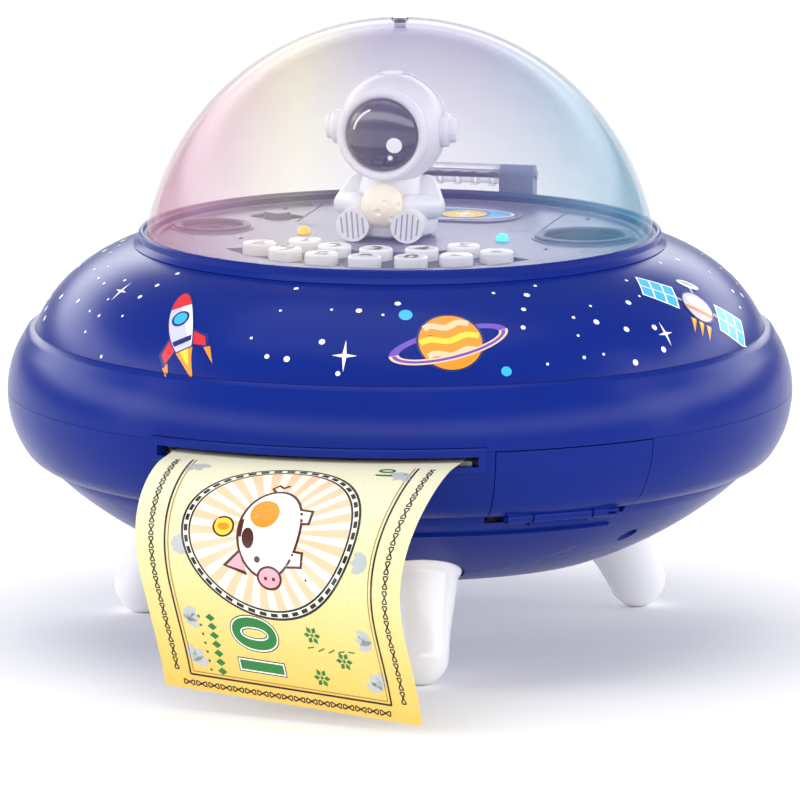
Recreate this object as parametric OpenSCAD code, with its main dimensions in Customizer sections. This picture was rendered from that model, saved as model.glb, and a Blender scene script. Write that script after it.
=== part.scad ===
// Saucer-shaped savings bank with a hinged clear dome, keypad, note feeder and
// three legs. Millimetres, +Z up, front towards -Y. The origin is on the floor,
// under the middle of the saucer.

/* [Saucer] */
// Largest diameter of the saucer, at the seam between its two shells
saucer_d = 231.4; // [220:0.2:280]
// Height from the underside of the saucer up to the seam
lower_h = 47; // [44:0.5:58]
// Height from the seam up to the deck
deck_h = 44.5; // [40:0.5:56]
// Clear height under the saucer
stance_h = 26.3; // [22:0.1:34]
// Wall of the two shells
wall = 2.2; // [1.6:0.1:2.8]
// Half height of the bulging band above the seam
band_up = 17; // [14:0.5:19]
// Half height of the bulging band below the seam
band_down = 21.6; // [20:0.2:24]
// Radius of the band's bulge
band_bulge_r = 30; // [26:1:40]

/* [Deck and dome] */
// Radius of the opening that the deck fills
deck_hole_r = 73.9; // [72:0.1:80]
// Thickness of the deck plate
deck_t = 2.5; // [2:0.1:3.2]
// Height of the rim above the deck
rim_h = 3; // [2.4:0.1:4]
// Outer radius of the clear dome's sphere
dome_r = 75.9; // [75.5:0.1:82]
// Wall of the clear dome
dome_wall = 1.8; // [1.4:0.1:2.4]
// Radius of the dome's hinge pin
hinge_pin_r = 1.25; // [1:0.05:1.6]

/* [Keypad] */
// Radius of a key cap
key_r = 5; // [4:0.1:5.3]
// Height of a key cap above the deck
key_proud = 2.4; // [2:0.1:4]
// How far a key travels when it is pressed
key_travel = 1.2; // [0.8:0.1:1.4]
// Radius of the front row of keys about the saucer's middle
front_row_r = 46; // [44:0.5:50]
// Radius of the back row of keys about the saucer's middle
back_row_r = 31.5; // [29:0.5:32]

/* [Note feeder] */
// Width of a play note
note_w = 86; // [66:1:88]
// Thickness of a play note
note_t = 0.3; // [0.2:0.05:0.5]
// Radius of the curl of the note outside the slot
note_curl_r = 33; // [28:1:38]
// How far the note hangs straight below its curl
note_drop = 30; // [15:1:30]
// Height of the note slot
slot_h = 3; // [2.4:0.1:4]
// Radius of the rubber drive roller
drive_r = 6; // [5:0.1:7]
// Radius of the pinch roller
pinch_r = 4; // [3:0.1:5]
// Tooth module of the feeder's gears
gear_module = 1; // [0.9:0.05:1.05]

/* [Cash door] */
// Angle about the saucer where the cash door starts, from the front to the right
door_from = 27; // [26.5:0.5:30]
// Angle about the saucer where the cash door ends
door_to = 52.5; // [48:0.5:58]

/* [Legs] */
// Radius of the circle that the leg tips stand on
leg_tip_circle = 85; // [80:0.5:95]
// Radius of a leg's round tip
leg_tip_r = 8.4; // [6:0.1:9]
// Radius of a leg where it meets the saucer
leg_top_r = 11.8; // [9:0.1:12.5]

/* [Figure] */
// Radius of the figure's round helmet
helmet_r = 16.2; // [14:0.1:17]

/* [Hidden] */
$fn = 64;

// Clearances: a fixed piece in its hole, a moving piece, and a shaft in a bore
fit = 0.15;
gap = 0.3;
run = 0.06;
// Overlap that joins the solids of one piece
eps = 0.02;

// Colours
body_blue = "#1c2f9e";
deck_lilac = "#7f7fb0";
plain_white = "#f4f4f6";
dark_navy = "#15183c";
steel = "#b9bcc2";
board_green = "#1e6b45";
rubber_grey = "#4a4a50";
clear_lilac = [0.8, 0.75, 0.95, 0.35];

// Main heights and radii
saucer_r = saucer_d / 2;
seam_z = stance_h + lower_h;
deck_z = seam_z + deck_h;
rim_z = deck_z + rim_h;
band_mid_r = saucer_r - band_bulge_r;
neck_r = deck_hole_r + 2.3;
rim_out_r = deck_hole_r + 3.1;
dome_seat_z = rim_z - 0.9;
ledge_t = 2.4;

// Point on the band's bulge at height h above the seam
function band_point(h) = [band_mid_r + sqrt(pow(band_bulge_r, 2) - h * h), seam_z + h];
// Point at t along a cubic curve
function curve_point(p, t) =
    pow(1 - t, 3) * p[0] + 3 * t * pow(1 - t, 2) * p[1]
    + 3 * t * t * (1 - t) * p[2] + pow(t, 3) * p[3];
function curve(p, steps) = [for (i = [0 : steps]) curve_point(p, i / steps)];
function unit(v) = v / norm(v);
// Outward normal of an outline that runs from the top of the saucer to its bottom
function outward(path, i) =
    let (d = unit(path[min(i + 1, len(path) - 1)] - path[max(i - 1, 0)])) [-d[1], d[0]];
function shifted(path, by) = [for (i = [0 : len(path) - 1]) path[i] + by * outward(path, i)];
function reversed(path) = [for (i = [len(path) - 1 : -1 : 0]) path[i]];
// Closed outline of a wall that lies inside a path
function wall_outline(path, t) = concat(path, reversed(shifted(path, -t)));

// Outer outlines of the saucer
step_r = band_point(band_up)[0] - 2.6;
shoulder_path = curve([
    [neck_r, deck_z - 0.5],
    [neck_r + 15.3, deck_z - 4.3],
    [step_r - 3.6, seam_z + band_up + 13.2],
    [step_r + 0.8, seam_z + band_up - 1.5]], 14);
upper_band_path = concat(
    [[step_r - 1, seam_z + band_up + 1.4],
     [step_r + 1.3, seam_z + band_up + 1.4],
     [step_r + 2.2, seam_z + band_up + 0.8]],
    [for (i = [0 : 6]) band_point(band_up * (1 - i / 6))]);
band_low_h = band_down - 4.6;
band_edge_r = band_point(band_low_h)[0] - 7.4;
lower_band_path = concat(
    [for (i = [0 : 5]) band_point(-band_low_h * i / 6)],
    curve([
        band_point(-band_low_h),
        band_point(-band_low_h) + [-1.1, -1.7],
        [band_edge_r + 3.2, seam_z - band_down + 0.3],
        [band_edge_r, seam_z - band_down]], 5));
bottom_flat_r = 62;
bowl_top_r = band_edge_r - 0.4;
bowl_path = concat(
    [[bowl_top_r + 0.8, seam_z - band_down + 1.2]],
    curve([
        [bowl_top_r, seam_z - band_down - 0.9],
        [bowl_top_r - 9.1, seam_z - band_down - 9.9],
        [bottom_flat_r + 16, stance_h + 5.5],
        [bottom_flat_r, stance_h]], 12));

// Turns so that +X is the outward direction at an angle from the front to the right
module at_angle(a) {
    rotate([0, 0, a - 90]) children();
}
// Turns a flat outline through part of a circle, from one angle to another
module turned(from, to) {
    at_angle(from) rotate_extrude(angle = to - from) children();
}
// Ring-shaped block between two angles, two radii and two heights
module arc_block(from, to, r0, r1, z0, z1) {
    turned(from, to) translate([r0, z0]) square([r1 - r0, z1 - z0]);
}
// Plain tube
module tube(r_out, r_in, h) {
    difference() {
        cylinder(r = r_out, h = h);
        translate([0, 0, -1]) cylinder(r = r_in, h = h + 2);
    }
}
// Rod along X between two places
module rod_x(r, x0, x1) {
    translate([x0, 0, 0]) rotate([0, 90, 0]) cylinder(r = r, h = x1 - x0);
}
// Flat block with round corners
module round_block(w, d, h, r) {
    linear_extrude(h) polygon([
        for (c = [[1, 1, 0], [-1, 1, 90], [-1, -1, 180], [1, -1, 270]], i = [0 : 5])
            [c[0] * (w / 2 - r) + r * cos(c[2] + i * 18), c[1] * (d / 2 - r) + r * sin(c[2] + i * 18)]]);
}

/* ---- Saucer shells ---- */

bezel_half = 25.5;
bezel_top = seam_z + 1.2;
bezel_bottom = seam_z - 3 - slot_h;
slot_z = seam_z - 1.3 - slot_h / 2;
door_bottom = seam_z - band_down;
insert_from = 98;
insert_to = 103;
insert_top = seam_z - 3;
insert_bottom = seam_z - 19;
leg_angles = [17, 137, -103];
post_angles = [62, 118, -62, -125];
post_r = 4;
post_circle = 88;
screw_seat_z = stance_h + 20;
post_screw_r = 1.3;
cover_w = 66;
cover_d = 56;
cover_t = 2;
port_w = cover_w - 6;
port_d = cover_d - 6;

// Angular width of a gap at the saucer's edge
function gap_angle(g) = g / saucer_r * 180 / PI;

// Round posts that the case screws run up, between two heights
module posts(z0, z1) {
    for (a = post_angles) at_angle(a) translate([post_circle, 0, z0])
        cylinder(r = post_r, h = z1 - z0);
}

module lower_shell() {
    color(body_blue) difference() {
        union() {
            rotate_extrude() difference() {
                union() {
                    polygon(wall_outline(lower_band_path, wall));
                    polygon(wall_outline(bowl_path, wall));
                    translate([0, stance_h]) square([bottom_flat_r, wall]);
                }
                translate([0, seam_z - 0.05]) square([saucer_r + 1, 5]);
            }
            // Lip that guides the upper shell
            rotate_extrude() union() {
                translate([saucer_r - wall - 2, seam_z - 4]) square([2.2, 4]);
                translate([saucer_r - wall - 2, seam_z - 0.1]) square([2 - 0.45, 3.1]);
            }
            intersection() {
                posts(stance_h, seam_z - 2);
                rotate_extrude() polygon(concat([[0, seam_z]], shifted(lower_band_path, -wall / 2),
                    shifted([for (i = [1 : len(bowl_path) - 1]) bowl_path[i]], -wall / 2),
                    [[0, stance_h + wall / 2]]));
            }
            for (a = leg_angles) leg_frame(a) translate([0, 0, 1.2])
                cylinder(r = leg_stud_r + 2.2, h = leg_boss_h - 1.2);
            battery_port_rim();
        }
        // Window for the slot bezel
        arc_block(-bezel_half - gap_angle(fit), bezel_half + gap_angle(fit),
            saucer_r - 12, saucer_r + 3, bezel_bottom - fit, seam_z + 6);
        // Window for the cash door
        arc_block(door_from - gap_angle(gap), door_to + gap_angle(gap),
            saucer_r - 22, saucer_r + 3, door_bottom - 1.9, seam_z + 6);
        // Window for the side insert
        arc_block(insert_from - gap_angle(fit), insert_to + gap_angle(fit),
            saucer_r - 12, saucer_r + 3, insert_bottom - fit, insert_top + fit);
        // Screw holes up the posts
        for (a = post_angles) at_angle(a) translate([post_circle, 0, stance_h - 1])
            cylinder(r = post_screw_r + fit, h = seam_z - stance_h + 2);
        for (a = post_angles) at_angle(a) translate([post_circle, 0, stance_h - 1])
            cylinder(r = 3, h = screw_seat_z - stance_h + 1);
        // Holes for the legs' studs
        for (a = leg_angles) leg_frame(a) translate([0, 0, -8])
            cylinder(r = leg_stud_r + fit, h = leg_boss_h + 16);
        // Battery port
        translate([0, 0, stance_h - 1]) round_block(port_w, port_d, wall + 3, 3);
        translate([0, 0, stance_h - 1]) cover_outline(fit, cover_t + 1 + fit);
        translate([0, cover_screw_y, stance_h]) cylinder(r = 1.2, h = 9);
    }
    door_knuckle();
}

cover_screw_y = cover_d / 2 + 4.5;
// Rim that thickens the bottom around the battery port
module battery_port_rim() {
    translate([0, 0, stance_h + 0.5]) round_block(cover_w + 6, cover_d + 6, wall + 1.3, 5);
    translate([0, cover_screw_y, stance_h + 0.5]) cylinder(r = 4.8, h = 8);
}

module upper_shell() {
    color(body_blue) difference() {
        union() {
            rotate_extrude() difference() {
                polygon(wall_outline(upper_band_path, wall));
                translate([0, seam_z - 5]) square([saucer_r + 1, 5.05]);
            }
            rotate_extrude() union() {
                polygon(wall_outline(shoulder_path, wall));
                // Rim around the dome
                polygon([
                    [deck_hole_r, deck_z - 2], [deck_hole_r, dome_seat_z],
                    [rim_out_r - 1.6, dome_seat_z], [rim_out_r - 1.6, rim_z - 0.4],
                    [rim_out_r - 1.2, rim_z], [rim_out_r - 0.4, rim_z],
                    [rim_out_r, rim_z - 0.5], [rim_out_r, deck_z + 0.7],
                    [rim_out_r + 0.5, deck_z], [rim_out_r + 1.6, deck_z - 0.9],
                    [neck_r, deck_z - 3]]);
                // Ledge under the deck
                polygon([
                    [deck_hole_r - 5, deck_z - deck_t - ledge_t], [deck_hole_r - 5, deck_z - deck_t],
                    [deck_hole_r + 1.5, deck_z - deck_t], [deck_hole_r + 1.5, deck_z - 1],
                    [neck_r + 2, deck_z - 1.6], [neck_r + 2, deck_z - deck_t - ledge_t]]);
            }
            intersection() {
                posts(seam_z - 1.95, deck_z);
                rotate_extrude() polygon(concat([[0, deck_z]], shifted(shoulder_path, -wall / 2),
                    [[step_r, seam_z - 4], [0, seam_z - 4]]));
            }
        }
        // Notch for the slot bezel
        arc_block(-bezel_half - gap_angle(fit), bezel_half + gap_angle(fit),
            saucer_r - 9, saucer_r + 3, seam_z - 1, bezel_top + fit);
        // Screw holes
        for (a = post_angles) at_angle(a) translate([post_circle, 0, seam_z - 3])
            cylinder(r = post_screw_r, h = 16);
        // Holes for the hinge bracket's studs
        for (s = [-1, 1]) translate([s * lug_mid_x, hinge_y, deck_z - 12]) cylinder(r = 1.6 + run, h = 14);
    }
}

/* ---- Deck ---- */

switch_at = [-44.9, 32.9];
switch_turn = -35;
coin_at = [52.5, 14.1];
coin_hole_r = 12.7;
coin_ring_r = 14.7;
sound_at = [-58.9, 8.8];
sound_hole_r = 9.3;
sound_ring_r = 11.4;
led_at = [30, 4];
led_r = 1.9;
deck_r = deck_hole_r - 0.5;
pad_floor = deck_z - 1;
pad_out_r = front_row_r + 8;
pad_in_r = back_row_r - 6.5;
pad_end = 58;
figure_at = [-4, 7];
badge_at = [0, 47];
badge_w = 52;
badge_d = 26;
key_hole_r = key_r + 0.35;
key_row = [for (i = [-3 : 3]) [front_row_r, i * 17]];
key_back_row = [for (i = [-2 : 2]) [back_row_r, i * 24.6]];
key_places = concat(key_row, key_back_row);

module deck_plate() {
    color(deck_lilac) difference() {
        union() {
            translate([0, 0, deck_z - deck_t]) cylinder(r = deck_r, h = deck_t);
            // Border around the deck
            translate([0, 0, deck_z - 0.1]) tube(deck_r - 0.6, deck_r - 2.4, 0.9);
            translate([coin_at[0], coin_at[1], deck_z - 0.1]) cylinder(r = coin_ring_r + 0.9, h = 0.5);
            translate([sound_at[0], sound_at[1], deck_z - 0.1]) cylinder(r = sound_ring_r + 0.9, h = 0.5);
        }
        // Recess that the keys stand in
        arc_block(-pad_end, pad_end, pad_in_r, pad_out_r, pad_floor, deck_z + 2);
        for (k = key_places) at_angle(k[1]) translate([k[0], 0, deck_z - deck_t - 1])
            cylinder(r = key_hole_r, h = deck_t + 4);
        translate([coin_at[0], coin_at[1], deck_z - deck_t - 1]) cylinder(r = coin_hole_r, h = deck_t + 4);
        translate([coin_at[0], coin_at[1], deck_z - 1.2]) cylinder(r = coin_ring_r + fit, h = 4);
        translate([sound_at[0], sound_at[1], deck_z - deck_t - 1]) cylinder(r = 5, h = deck_t + 4);
        translate([sound_at[0], sound_at[1], deck_z - 1.2]) cylinder(r = sound_ring_r + fit, h = 4);
        for (s = [-1, 1]) translate([s * led_at[0], led_at[1], deck_z - deck_t - 1])
            cylinder(r = led_r + fit, h = deck_t + 3);
        // Recess and slot of the slide switch
        translate([switch_at[0], switch_at[1], deck_z - 1]) rotate([0, 0, switch_turn])
            round_block(14, 12, 3, 3);
        translate([switch_at[0], switch_at[1], deck_z - deck_t - 1]) rotate([0, 0, switch_turn])
            round_block(4.4, 8.4, deck_t + 3, 0.8);
        // Small slots
        for (p = [[46, 48], [46, -9], [-46, -9], [-46, 48]]) translate([p[0], p[1], deck_z - 0.8])
            round_block(1.2, 3.4, 2, 0.5);
        translate([-41.7, 56, deck_z - 1]) cylinder(r = 2.6, h = 3);
        // Panel lines beside the badge
        for (s = [-1, 1]) translate([s * 37 - 0.25, 24, deck_z - 0.5]) cube([0.5, 36, 2]);
        // Locating holes of the figure and the badge
        translate([figure_at[0], figure_at[1], deck_z - deck_t - 1])
            cylinder(r = figure_stud_r + run, h = deck_t + 3);
    }
}

module key(i) {
    place = key_places[i - 1];
    color(plain_white) at_angle(place[1]) translate([place[0], 0, 0]) rotate_extrude() polygon(concat(
        [[0, deck_z - deck_t - 3.5], [2, deck_z - deck_t - 3.5], [2, deck_z - deck_t - 1.6],
         [key_r + 1.1, deck_z - deck_t - 1.6], [key_r + 1.1, deck_z - deck_t - 0.4],
         [key_r, deck_z - deck_t - 0.4]],
        [for (t = [0 : 15 : 90])
            [key_r - 0.8 + 0.8 * cos(t), deck_z + key_proud - 0.8 + 0.8 * sin(t)]],
        [[key_r - 1.6, deck_z + key_proud - 0.25], [0, deck_z + key_proud - 0.35]]));
}

membrane_top = deck_z - deck_t - 3.5 - key_travel - 0.2;
membrane_t = 1.2;
board_t = 1.6;
board_top = membrane_top - membrane_t - 0.02;
// Half ring that the membrane and the board are cut from
module pad_blank(r_in, r_out, half, z, t) {
    arc_block(-half, half, r_in, r_out, z, z + t);
}
module keypad_membrane() {
    color(rubber_grey) {
        pad_blank(pad_in_r - 4, pad_out_r + 3, 64, membrane_top - membrane_t, membrane_t - 0.4);
        for (k = key_places) at_angle(k[1]) translate([k[0], 0, membrane_top - membrane_t + 0.1])
            cylinder(r = 3, h = membrane_t - 0.1);
    }
}
module main_board() {
    color(board_green) difference() {
        union() {
            pad_blank(pad_in_r - 6, pad_out_r + 5, 68, board_top - board_t, board_t);
            // Parts soldered under the board
            for (a = [-50, -20, 10, 40]) at_angle(a) translate([36, -5, board_top - board_t - 2.4])
                cube([9, 10, 2.5]);
        }
        for (a = [-60, 0, 60]) at_angle(a) translate([57.5, 0, board_top - board_t - 1])
            cylinder(r = 1.3, h = board_t + 2);
    }
}
// Ring set in the deck: outer radius, inner radius and depth of its skirt
module set_ring(at, r_out, r_in) {
    translate([at[0], at[1], 0]) rotate_extrude() polygon([
        [r_in, deck_z - 1.15], [r_out, deck_z - 1.15], [r_out, deck_z + 0.8],
        [r_out - 0.4, deck_z + 1.2], [r_in + 0.5, deck_z + 1.2], [r_in, deck_z + 0.7]]);
}
module coin_ring() {
    color(deck_lilac) {
        set_ring(coin_at, coin_ring_r, coin_hole_r - 0.6);
        // Skirt that leads coins through the deck
        translate([coin_at[0], coin_at[1], deck_z - 9]) tube(coin_hole_r - fit, coin_hole_r - 1.4, 8.4);
    }
}
module sound_ring() {
    color(deck_lilac) {
        set_ring(sound_at, sound_ring_r, sound_hole_r);
        // Floor of the ring with its sound hole
        translate([sound_at[0], sound_at[1], deck_z - 1.15]) tube(sound_hole_r + 0.2, 4.6, 0.8);
    }
}
module deck_badge() {
    color("#e8c93a") translate([badge_at[0], badge_at[1], deck_z + 0.03])
        round_block(badge_w, badge_d, 0.5, 12);
}
module switch_knob() {
    color(plain_white) translate([switch_at[0], switch_at[1], 0]) rotate([0, 0, switch_turn]) {
        translate([0, 0, deck_z - 0.7]) round_block(6.5, 6, 2.2, 1.2);
        translate([0, 0, deck_z - deck_t - 1.2]) round_block(3.6, 3.4, 3.2 + deck_t - 1.2, 0.6);
        translate([0, 0, deck_z - deck_t - 1.5]) round_block(7, 5, 1.1, 1);
    }
}
module led(s) {
    translate([s * led_at[0], led_at[1], 0]) rotate_extrude() polygon(concat(
        [[0, deck_z - deck_t - 3], [led_r, deck_z - deck_t - 3]],
        [for (t = [0 : 15 : 90]) [led_r * cos(t), deck_z + 0.3 + led_r * sin(t)]]));
}
module led_amber() {
    color("#f2b23a") led(-1);
}
module led_cyan() {
    color("#4fd8f0") led(1);
}

/* ---- Dome and its hinge ---- */

dome_bottom = dome_seat_z + 0.3;
dome_base_r = rim_out_r - 1.6 - 0.6;
dome_centre_z = dome_bottom - sqrt(pow(dome_r, 2) - pow(dome_base_r, 2));
hinge_y = rim_out_r + 4;
hinge_z = rim_z + 4.4;
knuckle_half = 11.6;
knuckle_r = 3;
lug_in_x = knuckle_half + 0.6;
lug_out_x = 22.5;
lug_mid_x = (lug_in_x + lug_out_x) / 2;
vent_r = 1.7;

module dome() {
    color(clear_lilac) difference() {
        union() {
            intersection() {
                translate([0, 0, dome_centre_z]) sphere(r = dome_r, $fn = 128);
                translate([-100, -100, dome_bottom]) cube([200, 200, 100]);
            }
            // Knuckle with its ribs and top rail
            translate([0, hinge_y, hinge_z]) rod_x(knuckle_r, -knuckle_half, knuckle_half);
            for (i = [0 : 4]) translate([-knuckle_half + i * (knuckle_half - 0.9) / 2, dome_base_r - 6,
                    hinge_z - knuckle_r + 0.4])
                cube([1.8, hinge_y - dome_base_r + 6, 2 * knuckle_r - 1]);
            translate([-knuckle_half, dome_base_r - 6, hinge_z + knuckle_r - 1.7])
                cube([2 * knuckle_half, hinge_y - dome_base_r + 6, 1.4]);
        }
        translate([-knuckle_half - 1, hinge_y, hinge_z]) rod_x(hinge_pin_r + run, 0, 2 * knuckle_half + 2);
        translate([0, 0, dome_centre_z]) sphere(r = dome_r - dome_wall, $fn = 128);
        translate([0, 0, dome_centre_z]) cylinder(r = vent_r + fit, h = dome_r + 5);
    }
}
module vent_plug() {
    color("#5a5a78") translate([0, 0, dome_centre_z + dome_r]) rotate_extrude() polygon([
        [0, -dome_wall - 0.6], [vent_r, -dome_wall - 0.6], [vent_r, 0.1],
        [vent_r + 0.9, 0.1], [vent_r + 0.7, 0.8], [0, 1.1]]);
}
module hinge_bracket() {
    color(deck_lilac) difference() {
        for (s = [-1, 1]) {
            mid = s * lug_mid_x;
            half = (lug_out_x - lug_in_x) / 2;
            translate([mid, hinge_y, hinge_z]) rod_x(knuckle_r, -half, half);
            translate([mid - half, hinge_y - knuckle_r, deck_z - 0.6])
                cube([2 * half, 2 * knuckle_r, hinge_z - deck_z + 0.6]);
            translate([mid, hinge_y, deck_z - 10.9]) cylinder(r = 1.6, h = 12);
        }
        translate([-lug_out_x - 1, hinge_y, hinge_z]) rod_x(hinge_pin_r + 0.02, 0, 2 * lug_out_x + 2);
        saucer_shoulder_solid();
    }
}
// Everything under the shoulder, with a hair of clearance, but not the stud holes
module saucer_shoulder_solid() {
    difference() {
        rotate_extrude() polygon(concat(
            [[60, seam_z + 20], [60, deck_z - 0.4]], [[rim_out_r + 0.05, deck_z + 0.2], [rim_out_r + 1.6, deck_z - 0.8]],
            shifted([for (i = [3 : len(shoulder_path) - 3]) shoulder_path[i]], 0.05), [[100, seam_z + 20]]));
        for (s = [-1, 1]) translate([s * lug_mid_x, hinge_y, deck_z - 14]) cylinder(r = 1.6, h = 20);
    }
}
module hinge_pin() {
    color(steel) translate([0, hinge_y, hinge_z]) union() {
        rod_x(hinge_pin_r, -lug_out_x - 0.8, lug_out_x + 0.8);
        rod_x(hinge_pin_r + 0.7, -lug_out_x - 1.4, -lug_out_x - 0.1);
    }
}

/* ---- Figure on the deck ---- */

figure_stud_r = 4;
figure_z = deck_z + 0.03;
helmet_z = deck_z + 31.8;
visor_r = 10.8;
visor_y = -sqrt(pow(helmet_r, 2) - pow(visor_r, 2)) + 0.4;
ball_r = 6.4;
ball_at = [0, -12.6, 10.6];

// Limb made of two round ends
module limb(a, b, r_a, r_b) {
    hull() {
        translate(a) sphere(r = r_a, $fn = 24);
        translate(b) sphere(r = r_b, $fn = 24);
    }
}
module astronaut_body() {
    color(plain_white) translate([figure_at[0], figure_at[1], figure_z]) difference() {
        union() {
            // Torso, collar and seat
            translate([0, 1, 0]) rotate_extrude() polygon([
                [0, 0], [10.5, 0], [12.6, 1.2], [13.4, 4], [12.4, 8], [11, 12],
                [9.6, 16], [8.4, 18.6], [0, 18.6]]);
            for (s = [-1, 1]) {
                // Arm round to the ball, and leg with its boot
                limb([s * 10.2, 1, 14.5], [s * 13, -3.5, 9.5], 3.6, 3.8);
                limb([s * 13, -3.5, 9.5], [s * 7.8, -10.5, 10.8], 3.8, 3.2);
                limb([s * 7, -2, 5], [s * 8.2, -11.5, 4.8], 5, 4.7);
                translate([s * 8.2, -11.5, 5.1]) rotate([90, 0, 0]) cylinder(r = 4.9, h = 5);
            }
        }
        translate([0, 0, -10]) cube([80, 80, 20], center = true);
        // Seat for the helmet and for the ball
        translate([0, 0, helmet_z - figure_z]) sphere(r = helmet_r + 0.06, $fn = 64);
        translate(ball_at) sphere(r = ball_r + 0.08, $fn = 48);
    }
    // Stud into the deck
    color(plain_white) translate([figure_at[0], figure_at[1], deck_z - deck_t - 0.5])
        cylinder(r = figure_stud_r, h = deck_t + 1.2);
}
module astronaut_helmet() {
    color(plain_white) translate([figure_at[0], figure_at[1], helmet_z]) difference() {
        union() {
            sphere(r = helmet_r, $fn = 96);
            translate([0, 0, helmet_r - 1.2]) cylinder(r = 3.4, h = 1.7);
        }
        // Recess for the visor
        translate([0, visor_y + 0.2, 0]) rotate([90, 0, 0]) cylinder(r = visor_r + 2 + fit, h = 12);
        // Seats of the ear caps
        for (s = [-1, 1]) translate([s * (helmet_r - 1.8), 0, 0]) rotate([0, s * 90, 0])
            cylinder(r = 5 + fit, h = 6);
    }
}
module visor() {
    color(dark_navy) translate([figure_at[0], figure_at[1] + visor_y, helmet_z]) rotate([90, 0, 0])
        rotate_extrude() polygon(concat([[0, 0], [visor_r, 0]],
            [for (t = [0 : 10 : 90]) [visor_r * cos(t), 1.2 + 3.6 * sin(t)]]));
}
module visor_ring() {
    color(plain_white) translate([figure_at[0], figure_at[1] + visor_y, helmet_z]) rotate([90, 0, 0])
        rotate_extrude() translate([visor_r + 1.06, 0]) union() {
            translate([-1, 0]) square([2.9, 1.2]);
            translate([0.45, 1.2]) circle(r = 1.4, $fn = 32);
        }
}
module ear_caps() {
    color(plain_white) for (s = [-1, 1])
        translate([figure_at[0] + s * (helmet_r - 1.7), figure_at[1], helmet_z]) rotate([0, s * 90, 0])
            rotate_extrude() polygon([[0, 0], [5, 0], [5, 2.6], [4.5, 3.1], [3.6, 3.1],
                [3.6, 4.6], [3.1, 5.2], [0, 5.2]]);
}
module moon_ball() {
    color("#f6e6c0") translate([figure_at[0] + ball_at[0], figure_at[1] + ball_at[1], figure_z + ball_at[2]])
        difference() {
            sphere(r = ball_r, $fn = 64);
            for (c = [[20, -80, 1.5], [-35, -60, 1.1], [60, -40, 1.3], [-10, -20, 1.4], [30, -15, 0.9]])
                rotate([c[0] * 0.5, 0, c[1] + 80]) translate([0, -ball_r - 0.6 * c[2], 0])
                    sphere(r = c[2], $fn = 24);
        }
}

/* ---- Slot, cash door and panels ---- */

door_mid = (door_from + door_to) / 2;
door_hinge_r = band_edge_r + 1.2;
door_hinge_z = door_bottom - 0.2;
door_pin_r = 0.8;
door_barrel_r = 1.6;
barrel_in = 10;
barrel_out = 18;
door_path = concat([for (i = [0 : 5]) band_point(-gap - (band_low_h - gap) * i / 6)],
    [for (i = [6 : len(lower_band_path) - 1]) lower_band_path[i]]);

module slot_bezel() {
    color(body_blue) difference() {
        turned(-bezel_half, bezel_half) polygon([
            [saucer_r - 3.2, bezel_bottom], [saucer_r + 0.6, bezel_bottom],
            [saucer_r + 1.1, bezel_bottom + 0.5], [saucer_r + 1.1, bezel_top - 0.5],
            [saucer_r + 0.6, bezel_top], [saucer_r - 3.2, bezel_top]]);
        arc_block(-24.3, 24.3, saucer_r - 5, saucer_r + 3, slot_z - slot_h / 2, slot_z + slot_h / 2);
    }
}
// Places its children about the cash door's hinge, with Y along the pin
module door_hinge() {
    at_angle(door_mid) translate([door_hinge_r, 0, door_hinge_z]) children();
}
module rod_y(r, y0, y1) {
    translate([0, y0, 0]) rotate([-90, 0, 0]) cylinder(r = r, h = y1 - y0);
}
module cash_door() {
    color(body_blue) difference() {
        union() {
            turned(door_from, door_to) polygon(wall_outline(door_path, wall));
            // Ribs on the inside
            arc_block(door_from + 2, door_to - 2, saucer_r - wall - 2.6, saucer_r - wall + 0.3,
                seam_z - 6, seam_z - 4.6);
            at_angle(door_mid) translate([saucer_r - wall - 4, -5, seam_z - 3.4]) cube([4.3, 10, 1.6]);
            // Hinge barrels with their roots
            for (s = [-1, 1]) door_hinge() {
                middle = s * (barrel_in + barrel_out) / 2;
                half = (barrel_out - barrel_in) / 2;
                rod_y(door_barrel_r, middle - half, middle + half);
                translate([-1, middle - half, 0]) cube([2.2, 2 * half, 2.2]);
            }
        }
        door_hinge() {
            rod_y(door_pin_r + run, -barrel_out - 1, barrel_out + 1);
            rod_y(door_barrel_r + gap, -barrel_in + gap, barrel_in - gap);
        }
        // Finger notch in the lower edge
        at_angle(door_mid + 9) translate([door_hinge_r + 3.4, 0, door_bottom - 1]) cylinder(r = 2.2, h = 2.4);
    }
}
module door_pin() {
    color(steel) door_hinge() rod_y(door_pin_r, -barrel_out - 0.6, barrel_out + 0.6);
}
// Knuckle of the lower shell that holds the door's pin
module door_knuckle() {
    door_hinge() difference() {
        union() {
            rod_y(door_barrel_r, -barrel_in + 2 * gap, barrel_in - 2 * gap);
            translate([-4.6, -barrel_in + 2 * gap, -3]) cube([3.2, 2 * barrel_in - 4 * gap, 3.4]);
            translate([-4.6, -barrel_in + 2 * gap, -1.2]) cube([4.6, 2 * barrel_in - 4 * gap, 1.9]);
        }
        rod_y(door_pin_r + 0.02, -barrel_in - 1, barrel_in + 1);
    }
}
module belly_panel() {
    panel_half_w = 58;
    panel_half_h = 25;
    color(body_blue) difference() {
        intersection() {
            rotate_extrude() polygon(concat(
                shifted([for (i = [3 : len(bowl_path) - 1]) bowl_path[i]], 0.85),
                reversed(shifted([for (i = [3 : len(bowl_path) - 1]) bowl_path[i]], 0.05))));
            at_angle(leg_angles[0]) translate([40, 0, seam_z - 20]) rotate([90, 0, 90])
                linear_extrude(80) polygon([for (t = [0 : 6 : 354])
                    [panel_half_w * cos(t), panel_half_h * sin(t)]]);
        }
        leg_frame(leg_angles[0]) translate([0, 0, -12]) cylinder(r = leg_top_r + 2, h = 24);
    }
}
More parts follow.
